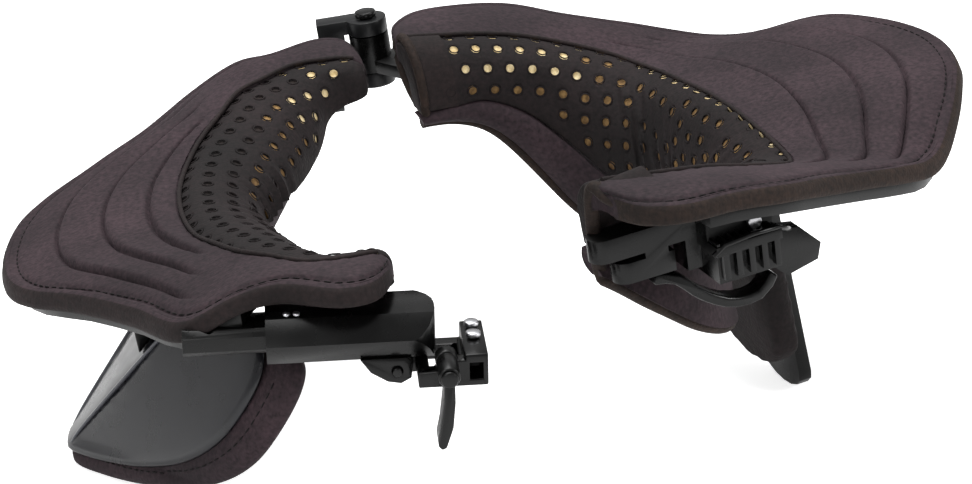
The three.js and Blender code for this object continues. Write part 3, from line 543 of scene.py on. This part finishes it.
shoulder = sweep("rear_shoulder_cover", [skirtRing(section) for section in sectionsOf["rear"]], "tableFabric")
inflate(shoulder, skirt["cap"])
roundEdges(shoulder, 2.0, 3, 50)
ruffle(shoulder, 0.35, 24)
subdivide(shoulder)
smoothShade(shoulder, 60)
declare(shoulder, "rear_shoulder_pad", "rear_half")
print("shoulder pad made")


# A cushion from its solid: remeshed, inflated and subdivided
def cushion(node, name, material, voxel, cap, shrink):
    source = frame["nodes"][node]
    piece = newObject(name, source.data.copy(), material)
    merge = bmesh.new()
    merge.from_mesh(piece.data)
    bmesh.ops.remove_doubles(merge, verts=merge.verts, dist=1e-6)
    merge.to_mesh(piece.data)
    merge.free()
    roundEdges(piece, shrink, 4, 40)
    remesh = piece.modifiers.new("remesh", "REMESH")
    remesh.mode = "VOXEL"
    remesh.voxel_size = voxel * mm
    plain(piece)
    soften = piece.modifiers.new("soften", "SMOOTH")
    soften.iterations = 10
    soften.factor = 0.5
    plain(piece)
    inflate(piece, cap)
    ruffle(piece, 0.3, 15)
    subdivide(piece)
    piece.data.materials.clear()
    piece.data.materials.append(materials[material])
    smoothShade(piece, 80)
    return declare(piece, node, bodyOf[node])


cushion("rear_strut_pad", "strut_cushion", "liningFabric", 1.6, 1.2, 3.2)

# A curve through points, with a set number of steps to each
def smoothPath(points, steps=8, closed=False):
    count = len(points)
    path = []
    for i in range(count if closed else count - 1):
        a, b, c, d = (points[(i + j) % count if closed else min(max(i + j, 0), count - 1)] for j in (-1, 0, 1, 2))
        for k in range(steps):
            t = k / steps
            path.append(b * (2 * t ** 3 - 3 * t ** 2 + 1) + c * (3 * t ** 2 - 2 * t ** 3)
                        + (c - a) * 0.5 * (t ** 3 - 2 * t ** 2 + t) + (d - b) * 0.5 * (t ** 3 - t ** 2))
    return path if closed else path + [points[-1]]


# Chest plate: flat in the middle between two folds, the wings swept back; the pad behind has the same form
chest = {
    "half": 74, "down": 53, "thick": 3, "forward": 89.8, "drop": 40.4, "slope": 46.5, "foldHalf": 22, "foldNarrow": 0.33,
    "sweep": 0.7, "lift": 0.15, "padThick": 8, "padMargin": 9, "padHang": 4, "crisp": 2.2, "keel": 1.3,
    "plateRoll": 2.2, "padRoll": 4.5, "middleDown": 16,
}
# share of the half width and of the depth, from the top round one side to the bottom
chestOutline = ((0, -0.3), (0.35, -0.36), (0.72, -0.38), (0.92, -0.33), (1, -0.1), (1.0, 0.22), (0.95, 0.52),
                (0.82, 0.76), (0.6, 0.92), (0.3, 0.99), (0, 1))


def onPlate(y, down, lift):
    slope = math.radians(chest["slope"])
    past = abs(y) - max(6, chest["foldHalf"] - chest["foldNarrow"] * down)
    out = (past + math.hypot(past, chest["crisp"])) / 2
    flat = Vector((-(chest["forward"] + down * math.cos(slope) - out * chest["sweep"]), y,
                   -chest["drop"] - down * math.sin(slope) + out * chest["lift"]))
    return flat + Vector((-math.sin(slope), 0, math.cos(slope))) * lift


def chestLoop(margin, hang, inset=0.0):
    points = [Vector((y * (chest["half"] + margin), down * chest["down"] + (hang if down > 0.1 else -hang / 2), 0))
              for y, down in chestOutline]
    points += [Vector((-point.x, point.y, 0)) for point in points[-2:0:-1]]
    middle = Vector((0, chest["middleDown"], 0))
    return [middle + (point - middle) * (1 - inset / (point - middle).length) for point in smoothPath(points, 8, True)]


def chestSheet(name, margin, hang, lift, thick, roll, material):
    middle = Vector((0, chest["middleDown"], 0))
    shares = [0.03, 0.12, 0.22, 0.32, 0.42, 0.52, 0.61, 0.7, 0.78, 0.85, 0.91]
    steps = [(share, 0.0, thick / 2) for share in shares]
    steps += [(1.0, roll * (1 - math.sin(turn)), thick / 2 * math.cos(turn))
              for turn in (k / 6 * math.pi / 2 for k in range(7))]
    steps += [(share, inset, -height) for share, inset, height in steps[-2::-1]]
    rings = []
    for share, inset, height in steps:
        loop = chestLoop(margin, hang, max(inset, roll if share < 1 else inset))
        flat = [middle + (point - middle) * share for point in loop]
        rings.append([toPart(onPlate(point.x, point.y, lift - thick / 2 + height), "front") for point in flat])
    return sweep(name, rings, material)


plate = chestSheet("chest_plate_moulding", 0, 0, 0, chest["thick"], chest["plateRoll"], "satin_plastic")
smoothShade(plate, 60)
declare(plate, "chest_plate", "front_half")
chestPad = chestSheet("chest_cushion", chest["padMargin"], chest["padHang"], -chest["thick"] - 2 * brace["gap"],
                      chest["padThick"], chest["padRoll"], "tableFabric")
inflate(chestPad, 1.0)
ruffle(chestPad, 0.3, 20)
smoothShade(chestPad, 70)
declare(chestPad, "chest_pad", "front_half")
print("cushions and chest pieces made")


# A moulding from its solid: merged, cleaned and given rounded edges
def moulding(node, width, segments=2, angle=26):
    source = frame["nodes"][node]
    form = bmesh.new()
    form.from_mesh(source.data)
    bmesh.ops.remove_doubles(form, verts=form.verts, dist=1e-6)
    bmesh.ops.dissolve_limit(form, angle_limit=math.radians(0.8), verts=form.verts, edges=form.edges)
    mesh = bpy.data.meshes.new(node)
    form.to_mesh(mesh)
    form.free()
    piece = newObject(f"{node}_moulding", mesh, slotOf[node])
    roundEdges(piece, width, segments, angle)
    smoothShade(piece, 36)
    if node in ("clasp_pivot_pin", "hinge_pin"):
        piece.data.materials[0] = materials["dark_steel"]
    return declare(piece, node, bodyOf[node])


mouldings = {
    "front_frame": 0.8, "clasp_sleeve": 0.9, "hinge_sleeve": 0.8, "rear_frame": 0.8, "latch_receiver": 0.45,
    "latch_guard": 0.8, "clasp_frame": 0.6, "clasp_lever": 0.5, "chest_mount": 1.2,
    "rear_strut": 1.0, "clasp_pivot_pin": 0.3, "hinge_pin": 0.5, "sleeve_pin_1": 0.3, "sleeve_pin_2": 0.3,
    "receiver_screw": 0.4, "clasp_screw_1": 0.4, "clasp_screw_2": 0.4,
}
for node, width in mouldings.items():
    moulding(node, width)
print("mouldings made")


# A tree that sets small copies on points, turned to the point's own directions
def copyTree(name, inputs, build):
    tree = bpy.data.node_groups.new(name, "GeometryNodeTree")
    tree.interface.new_socket(name="Geometry", in_out="INPUT", socket_type="NodeSocketGeometry")
    tree.interface.new_socket(name="Geometry", in_out="OUTPUT", socket_type="NodeSocketGeometry")
    for socket, value in inputs.items():
        made = tree.interface.new_socket(name=socket, in_out="INPUT", socket_type="NodeSocketFloat")
        made.default_value = value
    groupIn = addNode(tree, "NodeGroupInput")
    copy = build(tree, groupIn)
    along = addNode(tree, "GeometryNodeInputNamedAttribute", {"Name": "along"}, data_type="FLOAT_VECTOR")
    out = addNode(tree, "GeometryNodeInputNamedAttribute", {"Name": "out"}, data_type="FLOAT_VECTOR")
    turned = addNode(tree, "FunctionNodeAlignRotationToVector", {"Vector": out.outputs[0]}, axis="Z")
    final = addNode(tree, "FunctionNodeAlignRotationToVector", {
        "Rotation": turned.outputs[0], "Vector": along.outputs[0],
    }, axis="X", pivot_axis="Z")
    placed = addNode(tree, "GeometryNodeInstanceOnPoints", {
        "Points": groupIn.outputs["Geometry"], "Instance": copy, "Rotation": final.outputs[0],
    })
    real = addNode(tree, "GeometryNodeRealizeInstances", {"Geometry": placed.outputs[0]})
    addNode(tree, "NodeGroupOutput", {0: real.outputs[0]})
    return tree


def withMaterial(tree, geometry, material):
    return addNode(tree, "GeometryNodeSetMaterial", {"Geometry": geometry, "Material": materials[material]}).outputs[0]


# An eyelet: a pressed rim of cloth round a disc of the foam below, the disc coloured with the tree's painted lit or
# shaded foam
def eyeletBuild(tree, groupIn):
    path = addNode(tree, "GeometryNodeCurvePrimitiveCircle", {"Resolution": 18, "Radius": groupIn.outputs["Radius"]})
    wire = addNode(tree, "GeometryNodeCurvePrimitiveCircle", {"Resolution": 6, "Radius": groupIn.outputs["Rim"]})
    rim = addNode(tree, "GeometryNodeCurveToMesh", {"Curve": path.outputs[0], "Profile Curve": wire.outputs[0]})
    disc = addNode(tree, "GeometryNodeMeshCircle", {"Vertices": 18, "Radius": groupIn.outputs["Radius"]}, fill_type="TRIANGLE_FAN")
    sunk = addNode(tree, "ShaderNodeMath", {0: groupIn.outputs["Disc In"], 1: -1.0}, operation="MULTIPLY")
    offset = addNode(tree, "ShaderNodeCombineXYZ", {2: sunk.outputs[0]})
    raised = addNode(tree, "GeometryNodeTransform", {
        "Geometry": withMaterial(tree, disc.outputs[0], tree.name), "Translation": offset.outputs[0],
    })
    both = addNode(tree, "GeometryNodeJoinGeometry")
    for part in (withMaterial(tree, rim.outputs[0], "liningFabric"), raised.outputs[0]):
        tree.links.new(part, both.inputs[0])
    return both.outputs[0]


# A stitch: a short fat strand lying along its seam
def stitchBuild(tree, groupIn):
    strand = addNode(tree, "GeometryNodeMeshUVSphere", {"Segments": 8, "Rings": 6, "Radius": 0.5})
    size = addNode(tree, "ShaderNodeCombineXYZ", {
        0: groupIn.outputs["Length"], 1: groupIn.outputs["Thickness"], 2: groupIn.outputs["Thickness"],
    })
    shaped = addNode(tree, "GeometryNodeTransform", {"Geometry": strand.outputs[0], "Scale": size.outputs[0]})
    smooth = addNode(tree, "GeometryNodeSetShadeSmooth", {"Geometry": shaped.outputs[0]})
    return withMaterial(tree, smooth.outputs[0], "thread")


# A rib: a small bar standing on a moulding
def ribBuild(tree, groupIn):
    size = addNode(tree, "ShaderNodeCombineXYZ", {
        0: groupIn.outputs["Length"], 1: groupIn.outputs["Width"], 2: groupIn.outputs["Height"],
    })
    block = addNode(tree, "GeometryNodeMeshCube", {"Size": size.outputs[0]})
    return withMaterial(tree, block.outputs[0], "gloss_plastic")


eyeletTrees = {foam: copyTree(foam, {"Radius": 1.75 * mm, "Rim": 0.25 * mm, "Disc In": 0.7 * mm}, eyeletBuild)
               for foam in ("foam", "shadedFoam", "deepShadeFoam")}
stitchTree = copyTree("Stitches", {"Length": 2.6 * mm, "Thickness": 0.55 * mm}, stitchBuild)
ribTree = copyTree("Ribs", {"Length": 4 * mm, "Width": 1 * mm, "Height": 1 * mm}, ribBuild)


def scatter(name, tree, places, values, body, bevel=None):
    mesh = bpy.data.meshes.new(name)
    mesh.from_pydata([place for place, _, _ in places], [], [])
    for label, index in (("out", 1), ("along", 2)):
        attribute = mesh.attributes.new(label, "FLOAT_VECTOR", "POINT")
        attribute.data.foreach_set("vector", [c for row in places for c in row[index]])
    piece = newObject(name, mesh, None)
    modifier = piece.modifiers.new(tree.name, "NODES")
    modifier.node_group = tree
    identifiers = {item.name: item.identifier for item in tree.interface.items_tree if item.in_out == "INPUT"}
    for label, value in values.items():
        modifier[identifiers[label]] = value * mm
    plain(piece)
    if bevel:
        roundEdges(piece, bevel, 2, 40)
    smoothShade(piece, 50)
    return declare(piece, None, body)


# Points a fixed pitch apart along a polyline, with the way it runs
def spaced(path, pitch, start=0.0):
    found = []
    want = start
    run = 0.0
    for a, b in zip(path, path[1:]):
        step = (b - a).length
        while step > 0 and want <= run + step:
            found.append((a.lerp(b, (want - run) / step), (b - a).normalized()))
            want += pitch
        run += step
    return found


# Lays points on the surface of a piece, with its outward direction
def onSurface(piece, points, lift):
    tree = BVHTree.FromPolygons([v.co for v in piece.data.vertices], [f.vertices for f in piece.data.polygons])
    laid = []
    for point, along in points:
        place, normal, _, _ = tree.find_nearest(point)
        laid.append((place + normal * lift * mm, normal, along))
    return laid


# Perforations of the collar lining, in rows that follow the seam
eyelets = {"pitch": 8.3, "firstRow": 0.9, "edgeClear": 4.0, "radius": 1.75, "rim": 0.25, "endClear": 1.0, "least": 6.3, "deep": 1.3, "discIn": 0.7}


def collarAtArc(section, distance):
    previous = collarPoint(section, 0)
    run = 0.0
    steps = 40
    for k in range(1, steps + 1):
        point = collarPoint(section, k / steps * math.pi / 2)
        step = (point - previous).length
        if run + step >= distance:
            return previous.lerp(point, (distance - run) / step)
        run += step
        previous = point
    return None


def collarLength(section):
    points = [collarPoint(section, k / 20 * math.pi / 2) for k in range(21)]
    return sum((b - a).length for a, b in zip(points, points[1:]))


# Presses a round pit into the cover at each spot
def pressPits(piece, laid):
    tree = KDTree(len(laid))
    for i, (place, _, _) in enumerate(laid):
        tree.insert(place, i)
    tree.balance()
    radius = eyelets["radius"] * mm
    for vertex in piece.data.vertices:
        _, i, away = tree.find(vertex.co)
        if away < radius * 1.25:
            vertex.co = vertex.co - laid[i][1] * eyelets["deep"] * mm * (1 - smoothStep(away, radius * 0.75, radius * 1.25))


# Which foam shows: the plain foam is painted bright as if lit; rows far down get painted shade, and so does the crook
# of the front half, in a deeper painted shade
def foamOf(half, row, inward, side):
    if half == "rear":
        if row == 0 or (row < 3 and inward < (6 if side > 0 else 4)):
            return "foam"
        return "shadedFoam" if row < 4 or side > 0 else "deepShadeFoam"
    if side < 0:
        return "foam" if inward < 2.6 else "deepShadeFoam"
    if inward < 3.6:
        return "foam"
    if row < 2 or (row < 3 and inward > 6):
        return "deepShadeFoam"
    return "foam" if inward < 5 else "shadedFoam"


for half in halves:
    sections = [s for s in sectionsOf[half] if s["inward"] >= eyelets["endClear"]]
    lengths = [collarLength(section) for section in sections]
    byFoam = {foam: [] for foam in eyeletTrees}
    taken = []
    for row in range(9):
        distance = eyelets["firstRow"] + row * eyelets["pitch"]
        runs = [[]]
        for section, length in zip(sections, lengths):
            if distance < length - eyelets["edgeClear"]:
                runs[-1].append((toPart(collarAtArc(section, distance), half), section))
            elif runs[-1]:
                runs.append([])
        for run in runs:
            if len(run) < 4:
                continue
            start = (0.5 if row % 2 else 0.05) * eyelets["pitch"] * mm
            path = [place for place, _ in run]
            for place, along in spaced(path, eyelets["pitch"] * mm, start):
                section = min(run, key=lambda pair: (pair[0] - place).length)[1]
                if all((place - other).length > eyelets["least"] * mm for other in taken):
                    taken.append(place)
                    foam = foamOf(half, row, section["inward"], section["seam"].y)
                    byFoam[foam].append((place, along))
    laid = {foam: onSurface(collarCovers[half], spots, 0.0) for foam, spots in byFoam.items() if spots}
    pressPits(collarCovers[half], [spot for spots in laid.values() for spot in spots])
    for foam, spots in laid.items():
        scatter(f"{half}_eyelets_{foam}", eyeletTrees[foam], spots, {
            "Radius": eyelets["radius"], "Rim": eyelets["rim"], "Disc In": eyelets["discIn"],
        }, halves[half]["body"])
print("perforations made")

# Welt in the seam between table and collar, and stitches round the table's edge
trim = {"weltRadius": 0.8, "stitchPitch": 3.6, "stitchLength": 2.7, "stitchThick": 0.55, "edgeIn": 2.6, "weltIn": 5}


def tube(name, path, radius, material, body, sides=10, flat=1.0):
    rings = []
    for i, point in enumerate(path):
        along = (path[min(i + 1, len(path) - 1)] - path[max(i - 1, 0)]).normalized()
        across = along.cross(Vector((0, 0, 1))).normalized()
        upward = across.cross(along).normalized()
        rings.append([point + (across * math.cos(a) + upward * math.sin(a) * flat) * radius * mm
                      for a in (k / sides * 2 * math.pi for k in range(sides))])
    piece = sweep(name, rings, material)
    smoothShade(piece, 60)
    return declare(piece, None, body)


for half in halves:
    body = halves[half]["body"]
    sections = sectionsOf[half]
    cover = bpy.data.objects[f"{half}_table_cover"]
    weltPath = [toPart(s["seam"] + Vector((0, 0, 0.2)), half) for s in sections[trim["weltIn"]:-trim["weltIn"]]]
    tube(f"{half}_seam_welt", weltPath, trim["weltRadius"], "sideFabric", body)
    edgePath = []
    for s in sections:
        wide = (s["edge"] - s["seam"]).to_2d().length
        edgePath.append(toPart(tablePoint(s, 1 - (table["roll"] + trim["edgeIn"]) / wide, halves[half]["grooves"]), half))
    stitches = spaced(edgePath, trim["stitchPitch"] * mm)
    scatter(f"{half}_stitches", stitchTree, onSurface(cover, stitches, 0.1),
            {"Length": trim["stitchLength"], "Thickness": trim["stitchThick"]}, body)
print("seams made")

# Stitches along the edge of the chest pad, and the keel bead on each fold of the plate, painted lighter than the plate
# as a highlight
hem = [toPart(onPlate(point.x, point.y, -chest["thick"]), "front")
       for point in chestLoop(chest["padMargin"], chest["padHang"], chest["padRoll"] + 0.6) if point.y > -6]
turning = max(range(len(hem)), key=lambda i: (hem[i] - hem[i - 1]).length)
hem = hem[turning:] + hem[:turning]
scatter("chest_stitches", stitchTree, onSurface(chestPad, spaced(hem, trim["stitchPitch"] * mm), 0.1),
        {"Length": trim["stitchLength"], "Thickness": trim["stitchThick"]}, "front_half")
for side in (-1, 1):
    keel = []
    for k in range(25):
        down = -16 + 66 * k / 24
        fold = max(6, chest["foldHalf"] - chest["foldNarrow"] * down) * side
        keel.append(toPart(onPlate(fold, down, -chest["keel"] * 0.6 * (abs(k - 12) / 12) ** 6), "front"))
    tube("keel_bead", keel, chest["keel"], "keelPaintedHighlight", "front_half", sides=12, flat=0.6)

# Ratchet ridges on top of the receiver, and the raised rim round them
ratchet = {"from": 31, "count": 8, "pitch": 2.8, "y": -97.5, "z": -7.9, "length": 9, "width": 1.1, "height": 1.2}
ridges = []
for k in range(ratchet["count"]):
    place = toPart((ratchet["from"] + k * ratchet["pitch"], ratchet["y"], ratchet["z"]), "rear")
    ridges.append((place, directionToPart((0, 0, 1), "rear"), directionToPart((0, 1, 0), "rear")))
scatter("receiver_ridges", ribTree, ridges, {
    "Length": ratchet["length"], "Width": ratchet["width"], "Height": ratchet["height"],
}, "rear_half", bevel=0.2)
receiverRim = [(29, -101.6, -11), (33, -101.8, -8.2), (43, -101.8, -7.4), (52, -101.8, -7.6), (56, -99, -10.5), (60, -93, -14)]
tube("receiver_rim", [toPart(p, "rear") for p in receiverRim], 0.9, "gloss_plastic", "rear_half")
print("latch details made")

# Sock at the far end of the rear arm: the lining turns back round the arm and stays open
sock = {"back": 12.0, "wall": 1.8, "deep": 10, "binding": 1.7, "inset": 3}


def sockLoop(section, inset):
    seam = section["seam"]
    lining = [collarPoint(section, k / 12 * math.pi / 2) for k in range(13)]
    bottom = lining[-1]
    inward = (section["neck"] - seam).to_2d().normalized()
    for k in range(1, 10):
        turn = k / 10 * math.pi
        share = (1 - math.cos(turn)) / 2
        out = sock["back"] * math.sin(turn)
        lining.append(Vector((
            bottom.x + (seam.x - bottom.x) * share - inward.x * out,
            bottom.y + (seam.y - bottom.y) * share - inward.y * out,
            bottom.z + (seam.z - 1 - bottom.z) * share,
        )))
    middle = sum(lining, Vector()) / len(lining)
    return [point + (middle - point).normalized() * inset for point in lining], middle


sections = sectionsOf["rear"][::-1][sock["inset"]:]
outer = [[toPart(p, "rear") for p in sockLoop(section, -0.3)[0]] for section in sections[:sock["deep"]]]
inner = [[toPart(p, "rear") for p in sockLoop(section, sock["wall"])[0]] for section in sections[:sock["deep"]]]
band = hollowBand("rear_far_sock", outer + inner[::-1], "sideFabric")
smoothShade(band, 50)
declare(band, None, "rear_half")
tube("rear_far_binding", outer[0] + outer[0][:1], sock["binding"], "bindingTape", "rear_half")


# Binding: from the end of the near table's edge, round the end of the arm and along the lip of the shoulder pad
sections = sectionsOf["rear"]
lip = []
for section in sections:
    inward = Vector((section["neck"].x - section["seam"].x, section["neck"].y - section["seam"].y, 0)).normalized()
    lip.append(section["calmRim"] - inward * brace["skirtThick"] / 2)
end = sections[0]
turnAway = (end["seam"] - sections[4]["seam"]).to_2d().normalized()
turnAway = Vector((turnAway.x, turnAway.y, 0))
start = smoothPath([
    end["edge"] + Vector((4, 0, -3)), end["edge"].lerp(end["seam"], 0.5) - turnAway * 1.5 + Vector((0, 0, -2)),
    end["seam"] - turnAway * 1 + Vector((0, 0, -2)), end["seam"].lerp(lip[0], 0.5) - turnAway * 0.5,
    lip[0] - turnAway * 2 + Vector((0, 0, 2)), lip[4],
])
# Its cloth goes back inside the arm
form = bmesh.new()
inner = Vector((sections[0]["neck"].x - end["seam"].x, sections[0]["neck"].y - end["seam"].y, 0)).normalized()
rows = [[form.verts.new(toPart(point - turnAway * back + inner * side, "rear")) for point in start]
        for back, side in ((0, 0), (5, 0.6), (11, 1.2), (18, 1.8))]
for low, high in zip(rows, rows[1:]):
    for k in range(len(start) - 1):
        form.faces.new((low[k], low[k + 1], high[k + 1], high[k]))
nearMesh = bpy.data.meshes.new("rear_near_sock")
form.to_mesh(nearMesh)
form.free()
nearSock = newObject("rear_near_sock", nearMesh, "sideFabric")
wall = nearSock.modifiers.new("wall", "SOLIDIFY")
wall.thickness = 1.4 * mm
wall.offset = 0
plain(nearSock)
smoothShade(nearSock, 60)
declare(nearSock, None, "rear_half")
tube("shoulder_rim_binding", [toPart(p, "rear") for p in start[:-1] + lip[4:]], 2.4, "bindingTape",
     "rear_half", sides=14, flat=0.85)
print("socks and bindings made")

# Pale floor, soft light and the camera
room = {"floor": 4.0, "floorGlow": 0.7, "floorBounce": 0.05, "light": 0.42}
bpy.ops.mesh.primitive_plane_add(size=room["floor"], location=(0, 0, -0.0002))
floor = bpy.context.object
floor.name = "floor"
floorMaterial, floorTree, floorShader, floorPlace = newMaterial("Pale studio floor", {
    "Roughness": 0.9, "Emission Color": linear("#ffffff"),
})
floorSeen = addNode(floorTree, "ShaderNodeLightPath")
floorGlow = addNode(floorTree, "ShaderNodeMapRange", {
    "Value": floorSeen.outputs["Is Camera Ray"], "To Min": room["floorBounce"], "To Max": room["floorGlow"],
})
floorTree.links.new(floorGlow.outputs[0], floorShader.inputs["Emission Strength"])
floorShader.inputs["Base Color"].default_value = linear("#fbfbfb")
floor.data.materials.append(floorMaterial)
bpy.context.scene.view_settings.view_transform = "Standard"

world = bpy.data.worlds.new("studio")
world.use_nodes = True
seen = addNode(world.node_tree, "ShaderNodeLightPath")
strength = addNode(world.node_tree, "ShaderNodeMapRange", {
    "Value": seen.outputs["Is Camera Ray"], "To Min": room["light"], "To Max": 1.0,
})
background = world.node_tree.nodes["Background"]
background.inputs[0].default_value = linear("#ffffff")
world.node_tree.links.new(strength.outputs[0], background.inputs[1])
bpy.context.scene.world = world

lights = {
    "overhead": {"place": (-0.15, 0.25, 1.1), "size": 0.9, "watts": 14},
    "front": {"place": (-0.7, -1.0, 0.9), "size": 0.5, "watts": 6},
    "side": {"place": (0.9, -0.4, 0.6), "size": 0.3, "watts": 4},
}
for label, values in lights.items():
    lamp = bpy.data.lights.new(label, "AREA")
    lamp.size = values["size"]
    lamp.energy = values["watts"]
    lampObject = bpy.data.objects.new(label, lamp)
    bpy.context.scene.collection.objects.link(lampObject)
    lampObject.location = values["place"]
    lampObject.rotation_euler = (Vector((0, 0, 0.08)) - Vector(values["place"])).to_track_quat("-Z", "Y").to_euler()

# The view: level, from the latch side and a little above
view = {"lens": 96.3, "sensor": 36, "place": (-39.64, -810.1, 330.7), "ahead": (0.0814, 0.9121, -0.4019)}
camera = bpy.data.objects.new("camera", bpy.data.cameras.new("camera"))
bpy.context.scene.collection.objects.link(camera)
camera.data.lens = view["lens"]
camera.data.sensor_width = view["sensor"]
camera.data.sensor_fit = "HORIZONTAL"
ahead = Vector(view["ahead"]).normalized()
right = ahead.cross(Vector((0, 0, 1))).normalized()
camera.matrix_world = Matrix((right, right.cross(ahead), -ahead)).transposed().to_4x4()
camera.location = Vector(view["place"]) * mm + collarOrigin
bpy.context.scene.camera = camera
print("floor, light and camera made")
